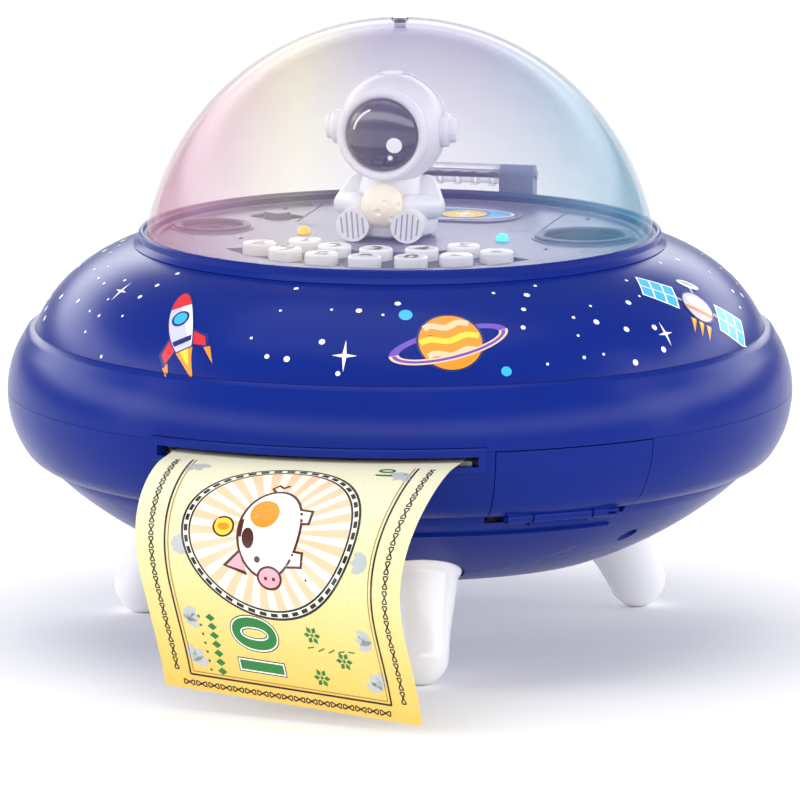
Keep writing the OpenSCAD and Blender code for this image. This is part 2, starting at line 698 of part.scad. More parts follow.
module side_insert() {
    color(dark_navy) turned(insert_from, insert_to) polygon(concat(
        [for (i = [0 : 4]) band_point(insert_top - seam_z + (insert_bottom - insert_top) * i / 4) - [0.25, 0]],
        [for (i = [4 : -1 : 0])
            band_point(insert_top - seam_z + (insert_bottom - insert_top) * i / 4) - [wall + 0.4, 0]]));
}

/* ---- Note feeder ---- */

feed_y = -80;
feed_gap = 0.2;
drive_z = slot_z - note_t / 2 - feed_gap - drive_r;
pinch_z = slot_z + note_t / 2 + feed_gap + pinch_r;
drive_shaft_r = 1.5;
pinch_shaft_r = 1.25;
plate_x = note_w / 2 + 2;
plate_t = 2;
guide_t = 1.4;
guide_gap = 0.5;
sleeve_mid = [-25, 0, 25];
sleeve_half = 7;
gear_teeth = 24;
pinion_teeth = 12;
gear_x0 = -plate_x - plate_t - 4.2;
gear_w = 3;
gear_centres = gear_module * (gear_teeth + pinion_teeth) / 2 + 0.12;
motor_y = feed_y + gear_centres;
motor_x1 = gear_x0 - 1.8;
motor_len = 20;
motor_r = 10;
motor_flat = 7.7;
tray_z = seam_z - 26;
tray_t = 1.8;
tray_r = bowl_top_r - 7.6;

// Involute tooth flank: half of the tooth's angle at radius r
function inv(a) = tan(a) * 180 / PI - a;
function half_tooth(teeth, r) =
    let (pitch = gear_module * teeth / 2, base = pitch * cos(20))
    84 / teeth + inv(20) - inv(acos(min(1, base / max(r, base))));
module gear(teeth, bore) {
    pitch = gear_module * teeth / 2;
    radii = [pitch - 1.15 * gear_module, pitch - 0.35 * gear_module, pitch + 0.25 * gear_module,
        pitch + 0.85 * gear_module];
    difference() {
        linear_extrude(gear_w) polygon([for (k = [0 : teeth - 1], j = [0 : 7])
            let (r = radii[j < 4 ? j : 7 - j], side = j < 4 ? -1 : 1,
                a = k * 360 / teeth + side * half_tooth(teeth, r)) [r * cos(a), r * sin(a)]]);
        translate([0, 0, -1]) cylinder(r = bore, h = gear_w + 2);
    }
}
// Stands a flat shape up so that its X is along Y and its thickness along X
module facing_x(x, y, z) {
    translate([x, y, z]) rotate([90, 0, 90]) children();
}
module guide_plate(z, roller_half) {
    difference() {
        translate([-plate_x + 0.05, -102, z]) cube([2 * plate_x - 0.1, 40, guide_t]);
        for (x = sleeve_mid) translate([x - sleeve_half - 1, feed_y - roller_half, z - 1])
            cube([2 * sleeve_half + 2, 2 * roller_half, guide_t + 2]);
    }
}
module feeder_frame() {
    color("#d8d9de") {
        difference() {
            for (s = [-1, 1]) facing_x(s > 0 ? plate_x : -plate_x - plate_t, 0, 0)
                linear_extrude(plate_t) polygon([
                    [-58, tray_z + tray_t + 0.02], [-82, tray_z + tray_t + 0.02], [-97, seam_z - 13],
                    [-97, pinch_z + 4], [-92, pinch_z + 6], [-58, pinch_z + 6]]);
            translate([-60, feed_y, drive_z]) rod_x(drive_shaft_r + run, 0, 120);
            translate([-60, feed_y, pinch_z]) rod_x(pinch_shaft_r + run, 0, 120);
        }
        translate([-plate_x - 0.5, -97, slot_z - note_t / 2 - guide_gap - guide_t])
            cube([0.6, 30, guide_t]);
        translate([plate_x - 0.1, -97, slot_z - note_t / 2 - guide_gap - guide_t])
            cube([0.6, 30, guide_t]);
        guide_plate(slot_z - note_t / 2 - guide_gap - guide_t, drive_r + 0.6);
        // Foot between the plates
        translate([-plate_x - 0.5, -62, tray_z + tray_t + 0.02]) cube([2 * plate_x + 1, 4, 2]);
    }
}
module upper_guide() {
    color("#d8d9de") guide_plate(slot_z + note_t / 2 + guide_gap, pinch_r + 0.6);
}
module roller_shaft() {
    color(steel) translate([0, feed_y, drive_z])
        rod_x(drive_shaft_r, gear_x0 - 0.6, plate_x + plate_t + 1.5);
}
module sleeves(r, bore) {
    for (x = sleeve_mid) difference() {
        rod_x(r, x - sleeve_half, x + sleeve_half);
        rod_x(bore, x - sleeve_half - 1, x + sleeve_half + 1);
    }
}
module drive_sleeves() {
    color(rubber_grey) translate([0, feed_y, drive_z]) sleeves(drive_r, drive_shaft_r + 0.02);
}
module roller_gear() {
    color(plain_white) facing_x(gear_x0, feed_y, drive_z) gear(gear_teeth, drive_shaft_r + 0.02);
}
module pinch_roller() {
    color(rubber_grey) translate([0, feed_y, pinch_z]) {
        rod_x(pinch_shaft_r, -plate_x - plate_t - 1, plate_x + plate_t + 1);
        for (x = sleeve_mid) rod_x(pinch_r, x - sleeve_half, x + sleeve_half);
    }
}
module motor() {
    color(steel) translate([motor_x1 - motor_len, motor_y, drive_z]) difference() {
        union() {
            intersection() {
                rod_x(motor_r, 0, motor_len);
                translate([-1, -motor_r - 1, -motor_flat]) cube([motor_len + 2, 2 * motor_r + 2, 2 * motor_flat]);
            }
            rod_x(3, -1.6, 0.1);
        }
        rod_x(1 + run, 4, motor_len + 1);
    }
}
module motor_pinion() {
    color(plain_white) facing_x(gear_x0, motor_y, drive_z) rotate([0, 0, 180 / pinion_teeth])
        gear(pinion_teeth, 0.6);
    color(steel) translate([0, motor_y, drive_z]) rod_x(1, motor_x1 - motor_len + 5, gear_x0 + gear_w + 0.4);
}

// The note: flat through the feeder, curled down outside the slot, with a slight twist
note_out_y = -saucer_r - 4;
note_turn = 95;
note_in_y = feed_y + 18;
note_curl_len = note_curl_r * note_turn * PI / 180;
note_twist = 17;
note_roll = 3;
note_sway = 3;
note_lean = 4.5;
note_steps = 20;
// Corners of the note at a share u of its way from the slot to its free end
function note_corners(u) =
    let (s = u * (note_curl_len + note_drop), a = min(s, note_curl_len) / note_curl_r * 180 / PI,
        past = max(0, s - note_curl_len), k = min(1, u / 0.7), twist = note_twist * k * k * (3 - 2 * k),
        aside = note_sway * pow(u, 3) - note_lean * pow(sin(180 * u), 2),
        middle = [aside, note_out_y - note_curl_r * sin(a) - past * cos(a),
            slot_z - note_curl_r * (1 - cos(a)) - past * sin(a)],
        across = note_w / 2 * [cos(twist), -sin(twist), -sin(note_roll * u)],
        out = note_t / 2 * [-sin(a) * sin(twist), -sin(a) * cos(twist), cos(a)])
    [middle - across + out, middle + across + out, middle + across - out, middle - across - out];
module note() {
    inner = [for (s = [-1, 1, 1, -1]) [s * note_w / 2, note_in_y, slot_z]];
    flat = [for (i = [0 : 3]) inner[i] + [0, 0, i < 2 ? note_t / 2 : -note_t / 2]];
    corners = concat(flat, [for (i = [0 : note_steps]) each note_corners(i / note_steps)]);
    faces = [for (i = [0 : note_steps], j = [0 : 3])
        let (a = 4 * i + j, b = 4 * i + (j + 1) % 4)
        each (j == 2 ? [[a, b, a + 4], [a + 4, b, b + 4]] : [[a, b + 4, a + 4], [a, b, b + 4]])];
    end = 4 * note_steps + 4;
    caps = [[0, 2, 1], [0, 3, 2], [end, end + 1, end + 2], [end, end + 2, end + 3]];
    color("#eadf9a") polyhedron(corners, concat(faces, caps));
}

/* ---- Inside the saucer ---- */

module cash_tray() {
    color("#c9cad2") {
        difference() {
            union() {
                translate([0, 0, tray_z]) cylinder(r = tray_r, h = tray_t);
                // Saddle under the motor
                translate([motor_x1 - motor_len + 7, motor_y - 7, tray_z + tray_t - 0.1])
                    cube([motor_len - 9, 14, drive_z - motor_flat - 0.05 - tray_z - tray_t + 0.1]);
            }
            for (a = post_angles) at_angle(a) translate([post_circle, 0, tray_z - 1])
                cylinder(r = post_r + gap, h = tray_t + 2);
        }
        for (x = [-42, 42], y = [-36, 36]) translate([x, y, stance_h + wall + 0.02])
            cylinder(r = 3, h = tray_z - stance_h - wall);
    }
}

cell_r = 7.25;
cell_len = 49;
cell_pitch = 15.6;
cell_z = stance_h + cover_t + fit + 0.8 + cell_r;
bay_floor_z = stance_h + 0.5 + wall + 1.3;
bay_wall = 1.6;
bay_top_z = cell_z + cell_r + 1.2;

module battery_tray() {
    color(dark_navy) difference() {
        translate([0, 0, bay_floor_z + 0.02])
            round_block(port_w + 2 * bay_wall, port_d + 2 * bay_wall, bay_top_z + bay_wall - bay_floor_z, 3);
        translate([0, 0, bay_floor_z - 1]) round_block(port_w, port_d, bay_top_z - bay_floor_z + 1, 2);
    }
}
module batteries() {
    color("#3a3a3c") for (i = [-1, 0, 1]) translate([0, i * cell_pitch, cell_z]) {
        rod_x(cell_r, -cell_len / 2, cell_len / 2);
        rod_x(2.7, (i == 0 ? -1 : 1) * cell_len / 2 - 0.7, (i == 0 ? -1 : 1) * cell_len / 2 + 0.7);
    }
}
module battery_contacts() {
    color(steel) for (i = [-1, 0, 1], s = [-1, 1]) translate([s * (port_w / 2 - 0.4), i * cell_pitch, cell_z]) {
        translate([-0.35, -5.5, -5]) cube([0.7, 11, 10]);
        // Spring at the flat end of each cell
        if (s == (i == 0 ? 1 : -1)) for (k = [0 : 3]) rotate([0, -s * 90, 0])
            translate([0, 0, 0.3 + k * 1.05]) tube(4.2 - k * 0.5, 3.4 - k * 0.5, 1.1);
    }
}
module cover_outline(c, h) {
    round_block(cover_w + 2 * c, cover_d + 2 * c, h, 4);
    translate([0, cover_screw_y, 0]) cylinder(r = 3.6 + c, h = h);
    translate([-3.6 - c, cover_d / 2 - 1, 0]) cube([7.2 + 2 * c, cover_screw_y - cover_d / 2 + 1, h]);
}
module battery_cover() {
    color(body_blue) difference() {
        translate([0, 0, stance_h]) cover_outline(0, cover_t);
        translate([0, cover_screw_y, stance_h - 1]) cylinder(r = 1.5, h = cover_t + 2);
        translate([0, cover_screw_y, stance_h - 1]) cylinder(r = 2.4, h = 2.45);
        // Grip ridges
        for (i = [-2 : 2]) translate([-10, -18 + i * 2.4, stance_h - 1]) cube([20, 1.1, 1.5]);
    }
}
module speaker() {
    color("#2b2b30") translate([sound_at[0], sound_at[1], deck_z - deck_t - ledge_t - 8.5]) rotate_extrude()
        polygon([[0, 0], [7, 0], [7, 3.4], [13, 6.4], [13.5, 8.2], [12.5, 8.2], [10.5, 7.2],
            [6, 4.6], [4, 5.6], [0, 6.2]]);
}
module lamp_board() {
    color(board_green) translate([figure_at[0], figure_at[1] + 4, deck_z - deck_t - 4.2]) {
        round_block(20, 14, 1.4, 2);
        translate([0, 0, 1.3]) cylinder(r = 2.4, h = 1.6);
    }
}

/* ---- Legs and screws ---- */

leg_lean = 27;
leg_stud_r = 5;
leg_boss_h = 9;
leg_root_z = stance_h + 4;
leg_tip_z = leg_tip_r - 0.5;
leg_root_r = leg_tip_circle - (leg_root_z - leg_tip_z) * tan(leg_lean);
leg_len = (leg_root_z - leg_tip_z) / cos(leg_lean);

// Puts Z along a leg, upwards, with the origin where the leg meets the saucer
module leg_frame(a) {
    at_angle(a) translate([leg_root_r, 0, leg_root_z]) rotate([0, -leg_lean, 0]) children();
}
module leg(a) {
    color(plain_white) difference() {
        union() {
            difference() {
                leg_frame(a) rotate_extrude() polygon(concat(
                    [[0, -leg_len - leg_tip_r]],
                    [for (t = [-80 : 10 : 0]) [leg_tip_r * cos(t), -leg_len + leg_tip_r * sin(t)]],
                    curve([[leg_tip_r, -leg_len], [leg_tip_r + 0.4, -leg_len * 0.65],
                        [leg_top_r - 1.2, -leg_len * 0.4], [leg_top_r, -1.5]], 6),
                    [[leg_top_r + 1.2, 0.5], [leg_top_r + 1.2, 9], [0, 9]]));
                leg_seat();
                translate([-200, -200, -50]) cube([400, 400, 50]);
            }
            leg_frame(a) translate([0, 0, -4]) cylinder(r = leg_stud_r, h = leg_boss_h + 3.6);
        }
        leg_frame(a) translate([0, 0, -2]) cylinder(r = 1.3, h = leg_boss_h + 6);
    }
}
// The saucer's underside, with a hair of clearance
module leg_seat() {
    rotate_extrude() polygon(concat([[0, seam_z]],
        shifted([for (i = [1 : len(bowl_path) - 1]) bowl_path[i]], 0.05),
        [[bottom_flat_r - 1, stance_h - 0.05], [0, stance_h - 0.05]]));
}
module leg_front() {
    leg(leg_angles[0]);
}
module leg_right() {
    leg(leg_angles[1]);
}
module leg_left() {
    leg(leg_angles[2]);
}
// Round-headed screw along Z, with its head at the origin
module screw(len, r, head_r) {
    rotate_extrude() polygon([[0, -1.4], [head_r * 0.7, -1.4], [head_r, -0.6], [head_r, 0], [r, 0],
        [r, len - r], [0, len]]);
}
module case_screws() {
    color(steel) {
        for (a = post_angles) at_angle(a) translate([post_circle, 0, screw_seat_z - 0.02])
            screw(seam_z + 12 - screw_seat_z, post_screw_r - 0.02, 2.6);
        translate([0, cover_screw_y, stance_h + 1.4]) screw(6, 1.18, 2.1);
    }
}
module leg_screws() {
    color(steel) for (a = leg_angles) leg_frame(a) translate([0, 0, leg_boss_h + 1.15]) rotate([180, 0, 0])
        screw(9, 1.28, 3.2);
}

lower_shell();
upper_shell();
deck_plate();
keypad_membrane();
main_board();
for (i = [1 : 12]) key(i);
coin_ring();
sound_ring();
deck_badge();
switch_knob();
led_amber();
led_cyan();
dome();
vent_plug();
hinge_bracket();
hinge_pin();
astronaut_body();
astronaut_helmet();
visor();
visor_ring();
ear_caps();
moon_ball();
slot_bezel();
cash_door();
door_pin();
feeder_frame();
upper_guide();
roller_shaft();
drive_sleeves();
roller_gear();
pinch_roller();
motor();
motor_pinion();
note();
cash_tray();
battery_tray();
batteries();
battery_contacts();
battery_cover();
belly_panel();
side_insert();
speaker();
lamp_board();
leg_front();
leg_right();
leg_left();
case_screws();
leg_screws();
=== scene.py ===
"""Looks of the saucer-shaped savings bank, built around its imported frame. Metres, +Z up, front towards -Y."""
import math
import random

import bmesh
import bpy
import numpy as np
from mathutils import Matrix, Vector
from mathutils.bvhtree import BVHTree


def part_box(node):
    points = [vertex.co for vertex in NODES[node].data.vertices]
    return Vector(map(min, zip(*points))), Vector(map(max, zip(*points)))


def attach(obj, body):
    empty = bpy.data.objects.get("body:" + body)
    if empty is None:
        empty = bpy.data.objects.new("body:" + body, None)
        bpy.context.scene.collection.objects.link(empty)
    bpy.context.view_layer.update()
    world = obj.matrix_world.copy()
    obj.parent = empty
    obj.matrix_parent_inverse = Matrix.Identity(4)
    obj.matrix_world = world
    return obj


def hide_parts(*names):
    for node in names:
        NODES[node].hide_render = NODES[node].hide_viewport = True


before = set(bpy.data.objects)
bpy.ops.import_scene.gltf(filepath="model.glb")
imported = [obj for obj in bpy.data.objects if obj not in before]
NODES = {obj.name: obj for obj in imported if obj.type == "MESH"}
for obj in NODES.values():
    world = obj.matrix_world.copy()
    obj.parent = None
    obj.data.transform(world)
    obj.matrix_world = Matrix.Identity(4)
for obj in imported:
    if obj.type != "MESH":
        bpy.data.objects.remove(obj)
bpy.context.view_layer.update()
MM = 0.001
SKINS = {}
scene = bpy.context.scene


# ---- Small helpers -------------------------------------------------------------------------------

def lin(code):
    """Linear colour of an sRGB hex value such as '#1b2f9e'."""
    parts = [int(code[i:i + 2], 16) / 255 for i in (1, 3, 5)]
    return [p / 12.92 if p <= 0.04045 else ((p + 0.055) / 1.055) ** 2.4 for p in parts] + [1.0]


def deselect():
    if bpy.context.object and bpy.context.object.mode != "OBJECT":
        bpy.ops.object.mode_set(mode="OBJECT")
    bpy.ops.object.select_all(action="DESELECT")


def only(piece):
    """Selects one piece and makes it active."""
    deselect()
    piece.select_set(True)
    bpy.context.view_layer.objects.active = piece
    return piece


def named(piece, name):
    piece.name = name
    piece.data.name = name
    return piece


def settle(piece):
    """Puts a piece's place into its mesh, so that its object sits at the origin."""
    only(piece)
    bpy.ops.object.transform_apply(location=True, rotation=True, scale=True)
    return piece


def merged(piece):
    """Welds corners that lie within a hundredth of a millimetre."""
    only(piece)
    bpy.ops.object.mode_set(mode="EDIT")
    bpy.ops.mesh.select_all(action="SELECT")
    bpy.ops.mesh.remove_doubles(threshold=0.01 * MM)
    bpy.ops.object.mode_set(mode="OBJECT")
    return piece


def shade(piece, degrees=30):
    only(piece)
    bpy.ops.object.shade_smooth_by_angle(angle=math.radians(degrees))
    return piece


def use(piece, material):
    piece.data.materials.clear()
    piece.data.materials.append(material)
    return piece


def apply_modifier(piece, kind, **settings):
    """Adds one modifier with its settings and applies it."""
    only(piece)
    modifier = piece.modifiers.new(kind.lower(), kind)
    for key, value in settings.items():
        setattr(modifier, key, value)
    bpy.ops.object.modifier_apply(modifier=modifier.name)
    return piece


def from_bmesh(bm, name):
    """Makes a piece of a bmesh, and frees the bmesh."""
    mesh = bpy.data.meshes.new(name)
    bm.to_mesh(mesh)
    bm.free()
    piece = bpy.data.objects.new(name, mesh)
    scene.collection.objects.link(piece)
    return piece


def dressed(node, body, material, degrees=30):
    """A welded, smooth-shaded copy of a CAD node, which then stands for it."""
    source = NODES[node]
    mesh = source.data.copy()
    mesh.transform(source.matrix_world)
    piece = bpy.data.objects.new(node + "_skin", mesh)
    scene.collection.objects.link(piece)
    only(piece)
    if mesh.has_custom_normals:
        bpy.ops.mesh.customdata_custom_splitnormals_clear()
    merged(piece)
    shade(piece, degrees)
    use(piece, material)
    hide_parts(node)
    SKINS[node] = piece
    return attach(piece, body)


# ---- Materials -----------------------------------------------------------------------------------

def add(tree, kind, links=(), **settings):
    """Adds one node. links holds (input, socket) pairs, and settings its properties or input values."""
    made = tree.nodes.new(kind)
    for key, value in settings.items():
        if hasattr(made, key):
            setattr(made, key, value)
        else:
            made.inputs[key.replace("_", " ")].default_value = value
    for key, socket in links:
        tree.links.new(socket, made.inputs[key])
    return made


def surface(name, colour, roughness, **sockets):
    """A material with one Principled shader. Returns the material, its tree and the shader."""
    material = bpy.data.materials.new(name)
    material.use_nodes = True
    tree = material.node_tree
    shader = tree.nodes["Principled BSDF"]
    shader.inputs["Base Color"].default_value = lin(colour)
    shader.inputs["Roughness"].default_value = roughness
    for key, value in sockets.items():
        shader.inputs[key.replace("_", " ")].default_value = value
    return material, tree, shader


def moulded(name, colour, tone, roughness, grain_mm=0.35, bump=0.04, coat=0.0, **sockets):
    """Injection-moulded plastic: a slow drift of tone, roughness that varies a little, and a fine grain."""
    material, tree, shader = surface(name, colour, roughness,
                                     Coat_Weight=coat, Coat_Roughness=0.08, **sockets)
    where = add(tree, "ShaderNodeTexCoord").outputs["Object"]
    drift = add(tree, "ShaderNodeTexNoise", [("Vector", where)], Scale=28.0, Detail=3.0)
    blend = add(tree, "ShaderNodeMix", [("Factor", drift.outputs["Fac"])], data_type="RGBA")
    blend.inputs[6].default_value = lin(colour)
    blend.inputs[7].default_value = lin(tone)
    tree.links.new(blend.outputs[2], shader.inputs["Base Color"])
    spread = add(tree, "ShaderNodeMapRange", [("Value", drift.outputs["Fac"])],
                 To_Min=roughness - 0.05, To_Max=roughness + 0.05)
    tree.links.new(spread.outputs["Result"], shader.inputs["Roughness"])
    grain = add(tree, "ShaderNodeTexNoise", [("Vector", where)], Scale=1 / (grain_mm * MM), Detail=2.0)
    height = add(tree, "ShaderNodeBump", [("Height", grain.outputs["Fac"])], Strength=bump, Distance=0.0002)
    tree.links.new(height.outputs["Normal"], shader.inputs["Normal"])
    return material


def clear_tint_and_painted_glow(name):
    """Clear polystyrene with a faint sprayed tint across the dome: rose, cream, lilac, then cyan. The cream and
    the lilac in the middle are partly painted light: the glow of the lamps inside, seen through the dome.
    """
    material, tree, shader = surface(name, "#e8e0f8", 0.05, IOR=1.49, Specular_IOR_Level=0.2)
    coord = add(tree, "ShaderNodeTexCoord").outputs["Object"]
    across = add(tree, "ShaderNodeMapping", [("Vector", coord)], vector_type="TEXTURE")
    across.inputs["Rotation"].default_value = (0, 0, math.radians(13))
    place = add(tree, "ShaderNodeSeparateXYZ", [("Vector", across.outputs["Vector"])])
    share = add(tree, "ShaderNodeMapRange", [("Value", place.outputs["X"])], From_Min=-0.075, From_Max=0.075)
    ramp = add(tree, "ShaderNodeValToRGB", [("Fac", share.outputs["Result"])])
    # The cream stop and the lilac stops in the middle are partly the tint and partly painted light: the glow of
    # the lamps round the figure.
    stops = [(0.0, "#c07f97"), (0.14, "#d2a4b4"), (0.30, "#dfd3b2"), (0.46, "#a397c2"),
             (0.66, "#9a95be"), (0.84, "#7fabc6"), (1.0, "#3c8fb0")]
    ramp.color_ramp.elements[0].color = lin(stops[0][1])
    ramp.color_ramp.elements[1].color = lin(stops[-1][1])
    for at, colour in stops[1:-1]:
        ramp.color_ramp.elements.new(at).color = lin(colour)
    tree.links.new(ramp.outputs["Color"], shader.inputs["Base Color"])
    facing = add(tree, "ShaderNodeLayerWeight", Blend=0.35)
    alpha = add(tree, "ShaderNodeMapRange", [("Value", facing.outputs["Facing"])], To_Min=0.07, To_Max=0.5)
    tree.links.new(alpha.outputs["Result"], shader.inputs["Alpha"])
    return material


# Satin moulded ABS, deep blue: broad dim highlights and a barely seen grain
BLUE = moulded("royal_blue_abs", "#0e2784", "#0c2379", 0.25, Specular_IOR_Level=0.13)
# Fine-textured moulded ABS, grey with a touch of lilac: soft highlights with no edge
LILAC = moulded("lilac_grey_abs", "#7f7da3", "#747297", 0.36, grain_mm=0.6, bump=0.08)
# The same texture in a darker grey, as painted shade: the key recess, the rings and the deck's small marks are
# darkened so that they read as sunk
SUNK_SHADE = moulded("slate_violet_painted_shade", "#4d4b74", "#434168", 0.42, grain_mm=0.6, bump=0.1)
# Gloss moulded ABS, white: small crisp highlights on the keys and legs
WHITE = moulded("white_abs", "#f1f1f4", "#e9e9ee", 0.24, coat=0.3)
# Soft moulded vinyl: light sinks in a little, so its shadows are gentle
VINYL = moulded("white_vinyl", "#f3f3f6", "#eaeaf0", 0.34, grain_mm=0.5, bump=0.05, coat=0.15,
                Subsurface_Weight=0.15, Subsurface_Scale=0.002)
# The same vinyl in the shade of a narrow groove
GROOVE = moulded("shaded_vinyl", "#a9a9b4", "#a0a0ac", 0.5)
# Polished ABS, near black: mirror-like, as a visor is
NAVY = moulded("navy_gloss_abs", "#12143a", "#0e1030", 0.08, coat=1.0)
# Drawn steel: bright, with fine grain that blurs what it reflects
STEEL = moulded("drawn_steel", "#b9bcc2", "#a8abb2", 0.28, grain_mm=0.15, bump=0.1, Metallic=1.0)
# Moulded rubber: dull and dark
RUBBER = moulded("moulded_rubber", "#1d1d20", "#262629", 0.6, grain_mm=0.3, bump=0.2)
# Solder mask on a circuit board: green with a low gloss
BOARD = moulded("solder_mask", "#17603c", "#135233", 0.3)
# Unpolished moulded ABS for inner parts: pale and flat
GREY = moulded("grey_abs", "#c4c5cc", "#b8b9c1", 0.45)
# Printed film round a cell: dark with a gloss on top
JACKET = moulded("cell_jacket", "#2b2b2e", "#222225", 0.25, coat=0.5)
# Coated card of a speaker cone: black and dull
DARK = moulded("black_card", "#17171a", "#1f1f22", 0.6)
# Clear lenses with a lamp behind: they glow a little
AMBER = moulded("amber_lens", "#ffb13c", "#ff9d20", 0.12,
                Emission_Color=lin("#ffb13c"), Emission_Strength=0.8)
CYAN = moulded("cyan_lens", "#58e0ff", "#3ad0f8", 0.12,
               Emission_Color=lin("#58e0ff"), Emission_Strength=0.8)
# Milky lamp cover, pitted like a moon: a faint warm light from inside
MOON = moulded("milky_lamp", "#f6f0e2", "#eee4cc", 0.4, grain_mm=1.1, bump=0.9,
               Emission_Color=lin("#ffe9c0"), Emission_Strength=0.12)
# Clear polystyrene with a sprayed tint: strong at the edge, almost gone where it faces the eye. The cream and
# lilac in its middle are partly painted glow of the lamps inside
DOME = clear_tint_and_painted_glow("tinted_polystyrene_painted_glow")


# ---- Camera, floor and light ---------------------------------------------------------------------

CAMERA_TURN = math.radians(13)
CAMERA_RISE = math.radians(9.5)
CAMERA_FAR = 7.0
AIM = Vector((0, 0, 0.0697))
VIEW_WIDTH = 0.2359
LIT_POINT = Vector((0, 0, 0.09))
FLOOR_GAP = 0.2 * MM


def place_camera():
    """Far off and long in the lens, so that the object has hardly any perspective."""
    direction = Vector((math.sin(CAMERA_TURN) * math.cos(CAMERA_RISE),
                        -math.cos(CAMERA_TURN) * math.cos(CAMERA_RISE), math.sin(CAMERA_RISE)))
    data = bpy.data.cameras.new("camera")
    data.sensor_width = 36
    data.lens = 36 * CAMERA_FAR / VIEW_WIDTH
    data.clip_end = 50
    camera = bpy.data.objects.new("camera", data)
    camera.location = AIM + direction * CAMERA_FAR
    camera.rotation_euler = (-direction).to_track_quat("-Z", "Y").to_euler()
    scene.collection.objects.link(camera)
    scene.camera = camera


def area_light(name, turn, rise, far, size, power):
    """A soft box that looks at the object. turn is measured from the front towards +X."""
    a, e = math.radians(turn), math.radians(rise)
    direction = Vector((math.sin(a) * math.cos(e), -math.cos(a) * math.cos(e), math.sin(e)))
    data = bpy.data.lights.new(name, "AREA")
    data.shape = "RECTANGLE"
    data.size, data.size_y = size
    data.energy = power
    light = bpy.data.objects.new(name, data)
    light.location = LIT_POINT + direction * far
    light.rotation_euler = (-direction).to_track_quat("-Z", "Y").to_euler()
    scene.collection.objects.link(light)


def light_and_floor():
    """A white studio: a white floor, and a sky with a bright band low down, as soft boxes give."""
    scene.view_settings.view_transform = "Standard"
    world = bpy.data.worlds.new("studio")
    world.use_nodes = True
    tree = world.node_tree
    coord = add(tree, "ShaderNodeTexCoord").outputs["Generated"]
    height = add(tree, "ShaderNodeSeparateXYZ", [("Vector", coord)])
    ramp = add(tree, "ShaderNodeValToRGB", [("Fac", height.outputs["Z"])])
    ramp.color_ramp.elements[0].position = 0.0
    ramp.color_ramp.elements[0].color = (0.06, 0.06, 0.06, 1)
    ramp.color_ramp.elements[1].position = 1.0
    ramp.color_ramp.elements[1].color = (0.12, 0.12, 0.12, 1)
    for place, level in ((0.13, 0.07), (0.20, 0.82), (0.36, 0.82), (0.46, 0.06), (0.80, 0.07)):
        ramp.color_ramp.elements.new(place).color = (level, level, level * 1.01, 1)
    sky = tree.nodes["Background"]
    tree.links.new(ramp.outputs["Color"], sky.inputs["Color"])
    sky.inputs["Strength"].default_value = 5.0
    scene.world = world
    bpy.ops.mesh.primitive_plane_add(size=24, location=(0, 0, -FLOOR_GAP))
    floor = named(settle(bpy.context.object), "studio_floor")
    use(floor, moulded("pale_paper", "#fbfbfc", "#f8f8f9", 0.9, grain_mm=3, bump=0.02))
    area_light("top_light", -20, 80, 2.2, (2.4, 2.0), 20)
    area_light("left_strip", -70, 18, 1.4, (0.3, 1.0), 2)
    area_light("right_strip", 95, 18, 1.4, (0.3, 1.0), 2)


place_camera()
light_and_floor()


# ---- Shells, deck and legs -----------------------------------------------------------------------

UPPER = dressed("upper_shell", "body", BLUE)
dressed("lower_shell", "body", BLUE)
for node, body, material in (
        ("slot_bezel", "body", BLUE), ("cash_door", "cash_door", BLUE), ("belly_panel", "body", BLUE),
        ("battery_cover", "body", BLUE), ("side_insert", "body", NAVY),
        # The coin ring and the sound ring take the darker grey: painted shade, so that they read as sunk.
        ("coin_ring", "body", SUNK_SHADE), ("sound_ring", "body", SUNK_SHADE), ("hinge_bracket", "body", LILAC),
        ("switch_knob", "mode_switch", LILAC), ("led_amber", "body", AMBER), ("led_cyan", "body", CYAN),
        ("dome", "dome", DOME), ("vent_plug", "dome", NAVY), ("hinge_pin", "body", STEEL),
        ("astronaut_body", "body", VINYL), ("astronaut_helmet", "body", VINYL), ("visor", "body", NAVY),
        ("visor_ring", "body", VINYL), ("ear_caps", "body", VINYL), ("moon_ball", "body", MOON),
        ("leg_front", "body", WHITE), ("leg_right", "body", WHITE), ("leg_left", "body", WHITE),
        ("door_pin", "body", BLUE), ("feeder_frame", "body", GREY), ("upper_guide", "body", GREY),
        ("roller_shaft", "drive_roller", STEEL), ("drive_sleeves", "drive_roller", RUBBER),
        ("roller_gear", "drive_roller", WHITE), ("pinch_roller", "pinch_roller", RUBBER),
        ("motor", "body", STEEL), ("motor_pinion", "motor_rotor", WHITE), ("cash_tray", "body", GREY),
        ("battery_tray", "body", NAVY), ("batteries", "body", JACKET), ("battery_contacts", "body", STEEL),
        ("speaker", "body", DARK), ("lamp_board", "body", BOARD), ("main_board", "body", BOARD),
        ("keypad_membrane", "body", RUBBER), ("case_screws", "body", STEEL), ("leg_screws", "body", STEEL),
        ("deck_badge", "body", LILAC)):
    dressed(node, body, material)
for i in range(1, 13):
    dressed(f"key_{i}", f"key_{i}", WHITE)
DECK = dressed("deck_plate", "body", LILAC)


def paint_key_recess_shade():
    """The floor of the recess round the keys gets the darker grey: painted shade, so that it reads as sunk
    below the deck.
    """
    DECK.data.materials.append(SUNK_SHADE)
    recess_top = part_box("deck_plate")[1].z - 1.2 * MM
    recess_reach = 56 * MM
    for face in DECK.data.polygons:
        x, y, z = face.center
        if z < recess_top and face.normal.z > 0.9 and y < 0 and math.hypot(x, y) < recess_reach:
            face.material_index = 1


paint_key_recess_shade()


# ---- Printing: flat artwork laid on a curved surface ---------------------------------------------

def circle(x, y, r, count=24):
    return [(x + r * math.cos(2 * math.pi * i / count), y + r * math.sin(2 * math.pi * i / count))
            for i in range(count)]


